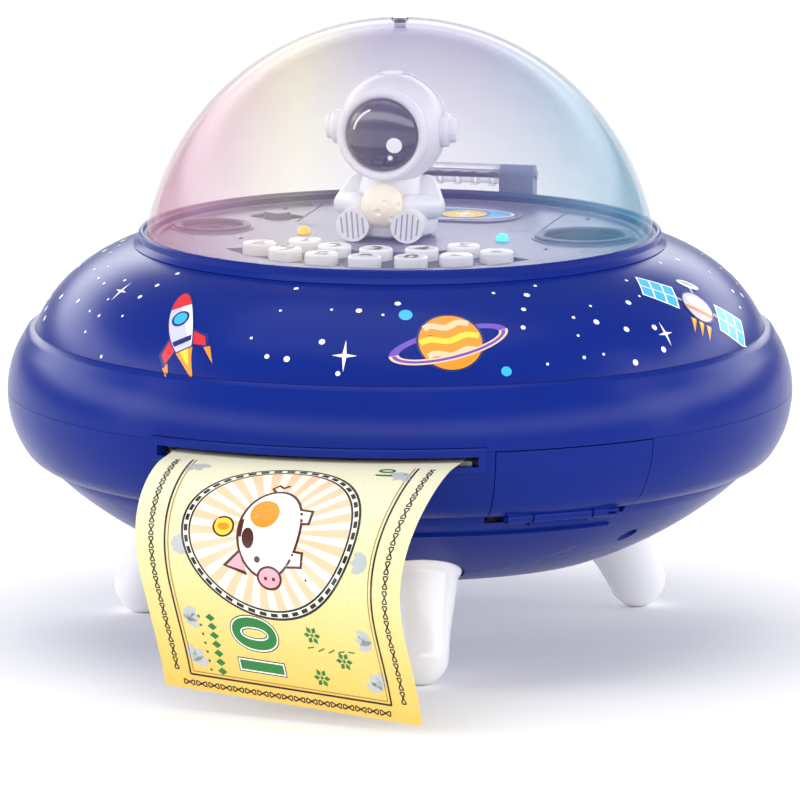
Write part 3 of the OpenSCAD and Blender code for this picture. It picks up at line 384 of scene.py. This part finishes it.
def oval(x, y, rx, ry, turn=0, count=40, start=0, sweep=360):
    c, s = math.cos(math.radians(turn)), math.sin(math.radians(turn))
    points = []
    for i in range(count + (sweep < 360)):
        t = math.radians(start + sweep * i / count)
        px, py = rx * math.cos(t), ry * math.sin(t)
        points.append((x + px * c - py * s, y + px * s + py * c))
    return points


def star(x, y, r, waist=0.16):
    """Four-pointed star with thin arms."""
    points = []
    for i in range(8):
        reach = r * (1.0 if i % 4 == 0 else 0.72 if i % 2 == 0 else waist)
        t = math.pi / 2 + i * math.pi / 4
        points.append((x + reach * math.cos(t), y + reach * math.sin(t)))
    return points


def turned(points, degrees, x=0, y=0, grow=1.0):
    c, s = math.cos(math.radians(degrees)), math.sin(math.radians(degrees))
    return [(x + grow * (px * c - py * s), y + grow * (px * s + py * c)) for px, py in points]


def stroke(points, width):
    """Outline of a band that follows a line of points."""
    left, right = [], []
    for i, (x, y) in enumerate(points):
        ax, ay = points[max(i - 1, 0)]
        bx, by = points[min(i + 1, len(points) - 1)]
        length = math.hypot(bx - ax, by - ay)
        nx, ny = -(by - ay) / length * width / 2, (bx - ax) / length * width / 2
        left.append((x + nx, y + ny))
        right.append((x - nx, y - ny))
    return left + right[::-1]


class Print:
    """Artwork in millimetres, cut into small faces and laid on a surface by place(x, y, lift)."""

    def __init__(self, name, place, pitch):
        self.name, self.place, self.pitch = name, place, pitch
        self.bm = bmesh.new()
        self.materials = []

    def fill(self, shape, material, layer=1, put=None):
        """shape is a closed outline or a flat mesh. put = (degrees, x, y) turns and moves it first."""
        if material not in self.materials:
            self.materials.append(material)
        part = shape
        if isinstance(shape, list):
            part = bmesh.new()
            part.faces.new([part.verts.new((x, y, 0)) for x, y in shape])
        if put:
            turn = Matrix.Rotation(math.radians(put[0]), 4, "Z")
            part.transform(Matrix.Translation((put[1], put[2], 0)) @ turn)
        bmesh.ops.triangulate(part, faces=part.faces[:])
        xs, ys = [v.co.x for v in part.verts], [v.co.y for v in part.verts]
        for axis, low, high in ((0, min(xs), max(xs)), (1, min(ys), max(ys))):
            step = self.pitch[axis]
            normal = (1, 0, 0) if axis == 0 else (0, 1, 0)
            for k in range(math.ceil(low / step), math.floor(high / step) + 1):
                at = (k * step, 0, 0) if axis == 0 else (0, k * step, 0)
                bmesh.ops.bisect_plane(part, geom=part.verts[:] + part.edges[:] + part.faces[:],
                                       plane_co=at, plane_no=normal)
        bmesh.ops.recalc_face_normals(part, faces=part.faces[:])
        index = self.materials.index(material)
        copies = {v: self.bm.verts.new(self.place(v.co.x, v.co.y, layer)) for v in part.verts}
        for face in part.faces:
            corners = [copies[v] for v in face.verts]
            if face.normal.z < 0:
                corners.reverse()
            made = self.bm.faces.new(corners)
            made.material_index = index
        part.free()

    def finish(self, body):
        piece = from_bmesh(self.bm, self.name)
        for material in self.materials:
            piece.data.materials.append(material)
        shade(piece, 40)
        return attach(piece, body)


def ink(name, colour, roughness=0.3):
    """Pad-printed ink: flat colour with a slight unevenness of its film."""
    return moulded(name, colour, colour, roughness, grain_mm=0.25, bump=0.05)


# The white ink also paints the highlight arc on the visor.
WHITE_INK_AND_PAINTED_HIGHLIGHT = ink("white_ink_and_painted_highlight", "#ffffff")
INK_RED = ink("red_ink", "#d8273a")
INK_ORANGE = ink("orange_ink", "#f7941e")
INK_YELLOW = ink("yellow_ink", "#ffd23c")
INK_SKY = ink("sky_ink", "#35b6f2")
INK_NAVY = ink("navy_ink", "#17236e")
INK_LILAC = ink("lilac_ink", "#c9c9e6")
INK_GREY = ink("grey_ink", "#9aa0ae")
INK_PEACH = ink("peach_ink", "#f3c9a4")
INK_PURPLE = ink("purple_ink", "#6a4bb8")
INK_BLACK = ink("black_ink", "#1a1a1c")
INK_BROWN = ink("brown_ink", "#4b1f14")
INK_PINK = ink("pink_ink", "#f6a8b8")
INK_CREAM = ink("cream_ink", "#f6f1dc", 0.5)
INK_GREEN = ink("green_ink", "#1f7a34")
INK_SILVER = ink("silver_grey_ink", "#b9bfc0")
INK_BRONZE = ink("bronze_ink", "#a8843a")


def shoulder_profile():
    """The saucer's shoulder as distances up the slope, radii and heights, from rays at the shell."""
    mesh = UPPER.data
    tree = BVHTree.FromPolygons([v.co for v in mesh.vertices], [p.vertices for p in mesh.polygons])
    low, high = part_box("upper_shell")
    rows = []
    for z in np.linspace(low[2] + 19.5 * MM, high[2] - 4.2 * MM, 90):
        hit = tree.ray_cast(Vector((0.2, 0.0001, z)), Vector((-1, 0, 0)))[0]
        rows.append((hit.x, z))
    rows = np.array(rows)
    along = np.concatenate([[0], np.cumsum(np.hypot(*np.diff(rows, axis=0).T))])
    return along, rows[:, 0], rows[:, 1]


ALONG, RADII, HEIGHTS = shoulder_profile()


def on_shoulder(angle, up):
    """Place function for artwork centred at an angle from the front and up mm along the slope."""
    middle_r = np.interp(up * MM, ALONG, RADII)

    def place(x, y, layer):
        s = (up + y) * MM
        r, z = np.interp(s, ALONG, RADII), np.interp(s, ALONG, HEIGHTS)
        dr = np.interp(s + MM, ALONG, RADII) - np.interp(s - MM, ALONG, RADII)
        dz = np.interp(s + MM, ALONG, HEIGHTS) - np.interp(s - MM, ALONG, HEIGHTS)
        size = math.hypot(dr, dz)
        lift = (0.05 + 0.03 * layer) * MM
        r, z = r + lift * dz / size, z - lift * dr / size
        a = math.radians(angle) + x * MM / middle_r
        return Vector((r * math.sin(a), -r * math.cos(a), z))
    return place


def shoulder_art():
    """White stars and dots all round the shoulder, with a rocket, a planet and a satellite."""
    art = Print("shoulder_print", None, (3.0, 2.0))

    def at(angle, up):
        art.place = on_shoulder(angle, up)

    # Four-pointed stars, at an angle from the front and mm up the slope
    for angle, up, r in ((-48, 26, 4.2), (4, 12, 5.2), (62, 13, 4.2), (112, 18, 4.6),
                         (150, 12, 4.0), (200, 20, 5.0), (238, 12, 4.4), (278, 24, 4.6)):
        at(angle, up)
        art.fill(star(0, 0, r), WHITE_INK_AND_PAINTED_HIGHLIGHT)
    # Dots scattered over the shoulder, clear of the pictures
    rng = random.Random(12)
    kept = [(-27.3, 20), (21.4, 17), (75, 20), (150, 20), (225, 18)]
    dots = []
    while len(dots) < 120:
        angle, up = rng.uniform(-180, 180), rng.uniform(3, 40)
        near = any(math.hypot((angle - a + 180) % 360 - 180, (up - u) * 0.6) < 12.5 for a, u in kept)
        near = near or any(math.hypot(((angle - a + 180) % 360 - 180) * 1.6, up - u) < 5.5 for a, u in dots)
        if not near:
            dots.append((angle, up))
    for angle, up in dots:
        at(angle, up)
        art.fill(circle(0, 0, rng.choice((0.45, 0.55, 0.75, 0.95)), 12), WHITE_INK_AND_PAINTED_HIGHLIGHT)
    rocket(art, at)
    ringed_planet(art, at)
    satellite(art, at)
    return art.finish("body")


def rocket(art, at):
    """A plain toy rocket with a round window, two fins and three flames."""
    at(-27.3, 19)
    turn = 32
    body = [(3.9 * math.cos(math.radians(t)), 13 * math.sin(math.radians(t))) for t in range(-50, 231, 10)]
    nose = [(px, py) for px, py in body if py > 6.4]

    def put(points, material, layer):
        art.fill(turned(points, turn), material, layer)

    for s in (-1, 1):
        put([(s * 3.0, -3), (s * 8.2, -8.5), (s * 7.6, -13.2), (s * 2.4, -9.4)], INK_NAVY, 1)
        put([(s * 3.2, -4.2), (s * 7.2, -8.8), (s * 6.8, -12), (s * 2.4, -9)], INK_RED, 2)
        put([(s * 6.0, -12.2), (s * 8.0, -12.8), (s * 7.2, -18.5)], INK_ORANGE, 1)
    put([(-3, -9.5), (3, -9.5), (1.6, -14), (0, -21), (-1.6, -14)], INK_ORANGE, 1)
    put([(-1.5, -10), (1.5, -10), (0, -16.5)], INK_YELLOW, 2)
    put([(px * 1.1, py * 1.04) for px, py in body], INK_NAVY, 3)
    put(body, INK_LILAC, 4)
    put([(px, py) for px, py in body if px > -1.0], WHITE_INK_AND_PAINTED_HIGHLIGHT, 5)
    put(nose, INK_RED, 6)
    put(circle(0, 1.6, 2.9), INK_NAVY, 7)
    put(circle(0, 1.6, 2.2), INK_SKY, 8)
    put([(-3.2, -6.2), (3.2, -6.2), (2.8, -8), (-2.8, -8)], INK_NAVY, 6)


def ringed_planet(art, at):
    """A striped planet with a tilted ring and two small moons."""
    at(21.4, 16)
    turn = 14
    art.fill(oval(0, 0, 18.5, 5.4, turn, sweep=180), INK_PURPLE, 1)
    art.fill(oval(0, 0, 15.6, 3.6, turn, sweep=180), BLUE, 2)
    art.fill(circle(0, 1, 10.1, 40), INK_NAVY, 3)
    art.fill(circle(0, 1, 9.4, 40), INK_ORANGE, 4)
    for y, half, width, colour in ((5.4, 7.0, 2.2, INK_PEACH), (0.6, 8.9, 2.0, INK_YELLOW),
                                   (-4.2, 7.4, 1.8, INK_PEACH)):
        wave = [(-half + 2 * half * i / 10, y + 0.7 * math.sin(i)) for i in range(11)]
        art.fill(turned(stroke(wave, width), 8, 0, 1), colour, 5)
    for outer, inner, start, sweep, colour, layer in (((18.5, 5.4), (15.6, 3.6), 178, 184, INK_PEACH, 6),
                                                      ((17.6, 4.9), (16.4, 4.1), 180, 180, INK_PURPLE, 7)):
        edge = oval(0, 0, *outer, turn, start=start, sweep=sweep)
        art.fill(edge + oval(0, 0, *inner, turn, start=start, sweep=sweep)[::-1], colour, layer)
    art.fill(circle(-13, 11, 2.2), INK_SKY, 4)
    art.fill(circle(15, -9.5, 1.5), INK_SKY, 4)


def satellite(art, at):
    """A round satellite with two solar wings and a dish."""
    at(75, 19)
    turn = -38

    def put(points, material, layer):
        art.fill(turned(points, turn), material, layer)

    def block(x0, x1, y0, y1):
        return [(x0, y0), (x1, y0), (x1, y1), (x0, y1)]

    put(block(-21, 21, -0.6, 0.6), INK_GREY, 1)
    for s in (-1, 1):
        x0, x1 = (8, 21) if s > 0 else (-21, -8)
        put(block(x0, x1, -5.2, 5.2), WHITE_INK_AND_PAINTED_HIGHLIGHT, 2)
        for i in range(3):
            for j in range(2):
                cx, cy = x0 + 0.5 + i * 4.2, -4.7 + j * 4.9
                put(block(cx, cx + 3.6, cy, cy + 4.4), INK_SKY, 3)
    put(circle(0, 0, 6.2, 32), INK_NAVY, 3)
    put(circle(0, 0, 5.6, 32), INK_LILAC, 4)
    put(oval(0, 1.6, 4.0, 2.2), WHITE_INK_AND_PAINTED_HIGHLIGHT, 5)
    put(block(-5.2, 5.2, -2.6, -1.2), INK_ORANGE, 5)
    put(block(-0.5, 0.5, 5.5, 10), INK_GREY, 2)
    put(oval(0, 10.4, 4.2, 1.8), WHITE_INK_AND_PAINTED_HIGHLIGHT, 3)
    put(oval(0, 10.8, 2.8, 0.9), INK_GREY, 4)
    for x in (-3, 0, 3):
        put([(x - 1.1, -6.4), (x + 1.1, -6.4), (x, -12)], INK_ORANGE, 2)
        put([(x - 0.5, -6.4), (x + 0.5, -6.4), (x, -9.4)], INK_YELLOW, 3)


# ---- Play note -----------------------------------------------------------------------------------

# The CAD note's driving sizes, in mm: it leaves its slot, curls down through CURL_TURN and hangs
SLOT_Z = 70.5
CURL_R, CURL_TURN, DROP = 33.0, math.radians(95), 30.0
CURL_LEN = CURL_R * CURL_TURN
HANG = CURL_LEN + DROP
OUT_Y = -119.7
INNER = 57.7
NOTE_HALF = 43.0


def on_note(x, s, lift=0.0):
    """The place on the note x mm across from its middle and s mm out of the slot, raised by lift mm."""
    u = max(0.0, s / HANG)
    a = min(max(0.0, s), CURL_LEN) / CURL_R
    past = max(0.0, s - CURL_LEN)
    k = min(1.0, u / 0.7)
    twist = math.radians(17) * k * k * (3 - 2 * k)
    across = Vector((math.cos(twist), -math.sin(twist), -math.sin(math.radians(3) * u)))
    out = Vector((-math.sin(a) * math.sin(twist), -math.sin(a) * math.cos(twist), math.cos(a)))
    y = OUT_Y - min(0.0, s) - CURL_R * math.sin(a) - past * math.cos(a)
    z = SLOT_Z - CURL_R * (1 - math.cos(a)) - past * math.sin(a)
    middle = Vector((3 * u ** 3 - 4.5 * math.sin(math.pi * u) ** 2, y, z))
    return (middle + x * across + lift * out) * MM


def note_paper():
    """Smooth printed paper, cream by the slot and yellow at the free end, with fine wavy security lines."""
    material, tree, shader = surface("note_paper", "#f2ecc4", 0.55, Specular_IOR_Level=0.25)
    uv = add(tree, "ShaderNodeUVMap", uv_map="sheet").outputs["UV"]
    place = add(tree, "ShaderNodeSeparateXYZ", [("Vector", uv)])
    ramp = add(tree, "ShaderNodeValToRGB", [("Fac", place.outputs["Y"])])
    ramp.color_ramp.elements[0].position = 0.3
    ramp.color_ramp.elements[0].color = lin("#e4e2cd")
    ramp.color_ramp.elements[1].color = lin("#ecc05c")
    for at, colour in ((0.55, "#ece8c6"), (0.75, "#f0dfa0"), (0.88, "#efd07c")):
        ramp.color_ramp.elements.new(at).color = lin(colour)
    wave = add(tree, "ShaderNodeTexWave", [("Vector", uv)], Scale=26.0, Distortion=5.0, Detail=1.0,
               Detail_Scale=2.0)
    fine = add(tree, "ShaderNodeMapRange", [("Value", wave.outputs["Fac"])], From_Min=0.7, From_Max=0.95,
               To_Min=0.0, To_Max=0.16)
    inked = add(tree, "ShaderNodeMix", [("Factor", fine.outputs["Result"])], data_type="RGBA")
    inked.inputs[7].default_value = lin("#c79a4a")
    tree.links.new(ramp.outputs["Color"], inked.inputs[6])
    tree.links.new(inked.outputs[2], shader.inputs["Base Color"])
    fibre = add(tree, "ShaderNodeTexNoise", [("Vector", uv)], Scale=220.0, Detail=2.0)
    bump = add(tree, "ShaderNodeBump", [("Height", fibre.outputs["Fac"])], Strength=0.08, Distance=0.0001)
    tree.links.new(bump.outputs["Normal"], shader.inputs["Normal"])
    return material


def note_sheet():
    """The paper itself: one curved sheet from the feeder to its free end, with a map from 0 to 1 over it."""
    across, along = 17, 60
    bm = bmesh.new()
    layer = bm.loops.layers.uv.new("sheet")
    rows, where = [], {}
    for j in range(along):
        s = -INNER + (HANG + INNER) * j / (along - 1)
        row = []
        for i in range(across):
            x = -NOTE_HALF + 2 * NOTE_HALF * i / (across - 1)
            vert = bm.verts.new(on_note(x, s, -0.06))
            where[vert] = (i / (across - 1), j / (along - 1))
            row.append(vert)
        rows.append(row)
    for j in range(along - 1):
        for i in range(across - 1):
            face = bm.faces.new((rows[j][i], rows[j + 1][i], rows[j + 1][i + 1], rows[j][i + 1]))
            for loop in face.loops:
                loop[layer].uv = where[loop.vert]
    bmesh.ops.recalc_face_normals(bm, faces=bm.faces[:])
    sheet = from_bmesh(bm, "note_sheet")
    sheet.data.materials.append(note_paper())
    apply_modifier(sheet, "SOLIDIFY", thickness=0.12 * MM, offset=0.0)
    shade(sheet, 40)
    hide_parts("note")
    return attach(sheet, "play_note")


def numeral(text, size, bold=0.0):
    """Flat mesh of a number, centred, with its capitals size high. bold swells its outline."""
    bpy.ops.object.text_add()
    words = bpy.context.object
    words.data.body = text
    words.data.align_x = "CENTER"
    words.data.align_y = "CENTER"
    words.data.size = size * 1.37
    words.data.offset = bold
    only(words)
    bpy.ops.object.convert(target="MESH")
    flat = bmesh.new()
    flat.from_mesh(bpy.context.object.data)
    bpy.data.objects.remove(bpy.context.object)
    bmesh.ops.remove_doubles(flat, verts=flat.verts[:], dist=0.001)
    return flat


def note_print():
    """Front of the note: borders, a medallion with a coin pig, a green 10 and rosettes, but no words."""
    art = Print("note_print", lambda x, y, layer: on_note(x, -y, 0.03 + 0.02 * layer), (4.0, 2.5))

    def line(points, width, material, layer=1):
        art.fill(stroke(points, width), material, layer)

    # Frame lines along the long edges and across the free end
    for s in (-1, 1):
        line([(s * 32.5, -y) for y in np.linspace(1, 79, 30)], 0.35, INK_BRONZE)
        line([(s * 33.6, -y) for y in np.linspace(1, 80, 30)], 0.6, INK_BLACK)
    line([(x, -79) for x in np.linspace(-32.5, 32.5, 24)], 0.35, INK_BRONZE)
    line([(x, -80) for x in np.linspace(-33.6, 33.6, 24)], 0.6, INK_BLACK)
    # A row of small knots outside the frame
    knots = [(s * 38.0, -y, 90) for s in (-1, 1) for y in np.arange(3.5, 79, 4.1)]
    knots += [(x, -82.6, 0) for x in np.arange(-34.5, 35, 4.1)]
    for x, y, turn in knots:
        for a in (28, -28):
            bar = turned([(-1.7, -0.22), (1.7, -0.22), (1.7, 0.22), (-1.7, 0.22)], turn + a, x, y)
            art.fill(bar, INK_BLACK, 1)
        for e in (-1, 1):
            tip = turned([(e * 1.5, -0.75), (e * 1.9, -0.75), (e * 1.9, 0.75), (e * 1.5, 0.75)], turn, x, y)
            art.fill(tip, INK_BLACK, 1)
    # Grey leaves in the four corners and along the sides
    leaf = [(0, 0), (1.5, 1.2), (3.2, 1.1), (4.6, 0), (3.2, -1.1), (1.5, -1.2)]
    for s in (-1, 1):
        for y, turns in ((-6, (200, 240, 280)), (-40, (150, 180, 210)),
                         (-62, (150, 180, 210)), (-76, (90, 130, 170))):
            for t in turns:
                t = t if s > 0 else 180 - t
                art.fill(turned(leaf, t, s * 31.6, y, 1.25), INK_SILVER, 1)
    # Medallion: pale disc, rays, dashed ring
    cx, cy, rx, ry = -1.0, -33.5, 27.6, 26.0
    art.fill(oval(cx, cy, rx, ry, count=72), INK_BLACK, 2)
    art.fill(oval(cx, cy, rx - 0.7, ry - 0.7, count=72), INK_CREAM, 3)
    for i in range(44):
        a = 360 / 44 * i
        dash = oval(cx, cy, rx - 0.9, ry - 0.9, count=2, start=a, sweep=5.0)
        dash += oval(cx, cy, rx - 2.0, ry - 2.0, count=2, start=a, sweep=5.0)[::-1]
        art.fill(dash, INK_BLACK, 4)
    art.fill(oval(cx, cy, rx - 2.3, ry - 2.3, count=72), INK_BLACK, 4)
    art.fill(oval(cx, cy, rx - 2.9, ry - 2.9, count=72), INK_CREAM, 5)
    for i in range(26):
        a = 360 / 26 * i
        rim = oval(cx, cy, rx - 3.0, ry - 3.0, count=2, start=a, sweep=7.2)
        art.fill([(cx, cy)] + rim, INK_PEACH, 6)
    coin_pig(art, cx, cy)
    # The value, turned to be read from the side, and a small one in the corner
    for text, size, x, y in (("10", 14.5, -7.5, -69.5), ("10", 5.0, 25.5, -6.5)):
        if size > 10:
            art.fill(numeral(text, size, 1.15), INK_BLACK, 2, (90, x, y))
            art.fill(numeral(text, size, 0.85), WHITE_INK_AND_PAINTED_HIGHLIGHT, 3, (90, x, y))
            art.fill(numeral(text, size, 0.45), INK_GREEN, 4, (90, x, y))
        else:
            art.fill(numeral(text, size, 0.1), INK_GREEN, 4, (90, x, y))
    # Green band of diamonds beside the value, and rosettes on its other side
    for i in range(7):
        y = -61.5 - i * 2.7
        art.fill([(-24, y), (-22.4, y + 1.15), (-20.8, y), (-22.4, y - 1.15)], INK_GREEN, 2)
        art.fill(circle(-26.2, y, 0.45, 8), INK_GREEN, 2)
    for x, y in ((11.5, -62.5), (11.5, -75.0), (20.5, -69.0)):
        for k in range(6):
            petal = turned([(0.6, 0), (1.7, 0.75), (2.8, 0), (1.7, -0.75)], k * 60, x, y)
            art.fill(petal, INK_GREEN, 2)
        art.fill(circle(x, y, 0.5, 10), INK_GREEN, 2)
    for k in range(5):
        line([(9 + k * 3.4, -66.5 - 0.7 * math.sin(k)), (11.2 + k * 3.4, -66.0)], 0.4, INK_GREEN, 2)
    piece = art.finish("play_note")
    return piece


def coin_pig(art, cx, cy):
    """A plain pig-shaped money box with a coin over its slot, lying on its side as the value does."""

    def put(points, material, layer):
        art.fill(turned(points, 90, cx, cy), material, layer)

    def edged(points, grown, material, layer):
        put(grown, INK_BROWN, layer)
        put(points, material, layer + 1)

    for x in (-7.5, 5.5):
        edged([(x - 1.7, -11.2), (x + 1.7, -11.2), (x + 2.2, -5), (x - 2.2, -5)],
              [(x - 2.4, -12), (x + 2.4, -12), (x + 2.9, -5), (x - 2.9, -5)], WHITE_INK_AND_PAINTED_HIGHLIGHT, 7)
    edged(oval(0, 0, 13.4, 9.2), oval(0, 0, 14.2, 10.0), WHITE_INK_AND_PAINTED_HIGHLIGHT, 8)
    put(oval(5.6, 2.6, 4.6, 4.4, 20), INK_ORANGE, 10)
    put(oval(-2.5, 6.2, 3.2, 1.9, 10), INK_BROWN, 10)
    edged([(-12.4, 6.2), (-7.2, 8.4), (-11.2, 12.4)],
          [(-13.6, 5.8), (-6.2, 8.6), (-11.4, 13.8)], INK_PINK, 11)
    edged(oval(-13.6, -1.4, 2.8, 3.4), oval(-13.6, -1.4, 3.5, 4.1), INK_PINK, 11)
    for y in (-0.2, -2.8):
        put(circle(-13.8, y, 0.55, 10), INK_BROWN, 13)
    put(circle(-8.6, 2.6, 1.0, 14), INK_BROWN, 12)
    put(stroke([(13.2, 1.5), (15.2, 3.2), (16.6, 1.6), (15.6, 0.2), (16.8, -1.4)], 0.9), INK_BROWN, 7)
    put([(-2.4, 8.3), (3.2, 8.3), (3.2, 9.2), (-2.4, 9.2)], INK_BROWN, 12)
    put(circle(0.4, 14.4, 3.4, 28), INK_BROWN, 7)
    put(circle(0.4, 14.4, 2.8, 28), INK_YELLOW, 8)
    put(oval(0.4, 14.4, 1.2, 1.9, count=20), INK_ORANGE, 9)


# ---- Figure, keys and deck printing --------------------------------------------------------------

def thrown(name, piece, centre, right, up, pitch=(1.5, 1.5), gap=0.02):
    """Print thrown straight onto a piece: centre is in mm, right and up are the artwork's directions."""
    mesh = piece.data
    tree = BVHTree.FromPolygons([v.co for v in mesh.vertices], [p.vertices for p in mesh.polygons])
    right, up = Vector(right).normalized(), Vector(up).normalized()
    out = right.cross(up)
    start = Vector(centre) * MM + out * 0.03

    def place(x, y, layer):
        at, normal = tree.ray_cast(start + (x * right + y * up) * MM, -out)[:2]
        return at + normal * (gap + 0.025 * layer) * MM
    return Print(name, place, pitch)


def key_marks():
    """Black digits 1 to 9 and 0 from the back row's left, and two plain signs to end the front row."""
    order = ["8", "9", "10", "11", "12", "1", "2", "3", "4", "5", "6", "7"]
    labels = ["1", "2", "3", "4", "5", "6", "7", "8", "9", "0", None, None]
    for key, label in zip(order, labels):
        piece = SKINS["key_" + key]
        low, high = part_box("key_" + key)
        centre = (low + high) / 2 / MM
        art = thrown("mark_" + key, piece, (centre.x, centre.y, high.z / MM), (1, 0, 0), (0, 1, 0), (20, 20))
        if label:
            art.fill(numeral(label, 6.2, 0.22), INK_BLACK)
        elif key == "6":
            art.fill([(-1.6, -1.9), (2.2, 0), (-1.6, 1.9)], INK_BLACK)
        else:
            art.fill([(-1.7, -1.7), (1.7, -1.7), (1.7, 1.7), (-1.7, 1.7)], INK_BLACK)
        art.finish("key_" + key)


def visor_marks():
    """White marks on the visor: an arc above left, which is a painted highlight, and a large dot and a small
    one below right, which are printed.
    """
    low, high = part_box("visor")
    centre = (low + high) / 2 / MM
    art = thrown("visor_highlight_and_print", SKINS["visor"], centre, (1, 0, 0), (0, 0, 1), (1.0, 1.0))
    ring = [(8.2 * math.cos(math.radians(t)), 8.2 * math.sin(math.radians(t))) for t in range(112, 172, 4)]
    art.fill(stroke(ring, 0.55), WHITE_INK_AND_PAINTED_HIGHLIGHT)
    art.fill(circle(4.3, -2.6, 2.3, 32), WHITE_INK_AND_PAINTED_HIGHLIGHT)
    art.fill(circle(3.0, -6.4, 0.75, 18), WHITE_INK_AND_PAINTED_HIGHLIGHT)
    art.finish("body")


def ridge(name, points, width, material, body="body"):
    """A thin raised bead that follows a line of points."""
    data = bpy.data.curves.new(name, "CURVE")
    data.dimensions = "3D"
    data.bevel_depth = width / 2 * MM
    data.bevel_resolution = 2
    data.use_fill_caps = True
    spline = data.splines.new("POLY")
    spline.points.add(len(points) - 1)
    for point, place in zip(spline.points, points):
        point.co = (*place, 1)
    piece = bpy.data.objects.new(name, data)
    scene.collection.objects.link(piece)
    only(piece)
    bpy.ops.object.convert(target="MESH")
    piece = bpy.context.object
    shade(piece, 60)
    use(piece, material)
    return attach(piece, body)


HELMET_R = 16.2


def figure_details():
    """Painted groove shade between the ribs of the boot soles, two seams over the helmet and one band across
    it, all in mm.
    """
    low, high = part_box("astronaut_helmet")
    fx, fy, fz = (low.x + high.x) / 2 / MM, (low.y + high.y) / 2 / MM, 117.8
    helmet_z = fz + 31.8
    # Grey lines on each sole: painted shade in the grooves between its ribs.
    art = thrown("sole_groove_shade", SKINS["astronaut_body"], (fx, fy - 16.5, fz + 5), (1, 0, 0), (0, 0, 1), (9, 9))
    for s in (-1, 1):
        for k in range(-2, 3):
            x = k * 1.6
            half = math.sqrt(4.0 ** 2 - x * x)
            groove = [(s * 8.2 + x + 0.3 * s * t, max(0.1 + half * t, -4.3)) for t in np.linspace(-1, 1, 5)]
            art.fill(stroke(groove, 0.5), GROOVE)
    art.finish("body")
    # Two seams from the brow over the crown
    for s in (-1, 1):
        aside = s * 5.2
        r = math.sqrt(HELMET_R ** 2 - aside ** 2)
        angles = [math.radians(t) for t in range(52, 150, 6)]
        seam = [Vector((fx + aside, fy - r * math.cos(a), helmet_z + r * math.sin(a))) * MM for a in angles]
        ridge("helmet_seam_" + ("r" if s > 0 else "l"), seam, 0.5, VINYL)
    # One band across the crown, a little behind its middle
    behind = 2.0
    r = math.sqrt(HELMET_R ** 2 - behind ** 2)
    angles = [math.radians(t) for t in range(24, 157, 6)]
    band = [Vector((fx + r * math.cos(a), fy + behind, helmet_z + r * math.sin(a))) * MM for a in angles]
    ridge("helmet_band", band, 0.6, VINYL)


def badge_art():
    """Own sign on the deck: a yellow comet with an orange tail on a sky-blue oval."""
    low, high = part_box("deck_badge")
    centre = (low + high) / 2 / MM
    art = thrown("badge_print", SKINS["deck_badge"], (centre.x, centre.y, high.z / MM),
                 (1, 0, 0), (0, 1, 0), (60, 60))
    art.fill(oval(0, 0, 25, 12, count=48), INK_NAVY, 1)
    art.fill(oval(0, 0, 24, 11, count=48), WHITE_INK_AND_PAINTED_HIGHLIGHT, 2)
    art.fill(oval(0, 0, 23, 10, count=48), INK_SKY, 3)
    art.fill([(-21, -1), (6, -8), (8, 6), (-14, 4.5), (-4, 2), (-19, 1.5), (-8, -1)], INK_NAVY, 4)
    art.fill([(-18, -1.2), (6, -6.6), (7, 4.6), (-10, 3.6), (-2, 1.2)], INK_ORANGE, 5)
    art.fill(circle(9, -1, 7.6, 36), INK_NAVY, 6)
    art.fill(circle(9, -1, 6.8, 36), INK_YELLOW, 7)
    art.fill(star(9, -1, 5.2, 0.34), WHITE_INK_AND_PAINTED_HIGHLIGHT, 8)
    art.finish("body")


def paint_deck_shade_marks():
    """Small dark dashes over the deck, and a row of dots by the speaker: painted shade in the darker grey, so
    that they read as sunk grooves and holes.
    """
    deck_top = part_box("deck_plate")[1].z / MM
    art = thrown("deck_painted_shade", DECK, (0, 0, deck_top), (1, 0, 0), (0, 1, 0), (60, 60))
    for x, y, turn, length in ((31, 22, 30, 7), (-33, 20, -30, 7), (58, -10, 70, 5), (-60, -12, -70, 5),
                               (40, 44, -40, 6), (-22, 60, 25, 6)):
        half = length / 2
        dash = [(-half, -0.4), (half, -0.4), (half, 0.4), (-half, 0.4)]
        art.fill(turned(dash, turn, x, y), SUNK_SHADE)
    for k in range(5):
        art.fill(circle(-58.9 + 2.6 * (k - 2), -6.5 + 0.5 * abs(k - 2), 0.5, 10), SUNK_SHADE)
    art.finish("body")


shoulder_art()
NOTE = note_sheet()
NOTE_PRINT = note_print()
key_marks()
visor_marks()
figure_details()
badge_art()
paint_deck_shade_marks()
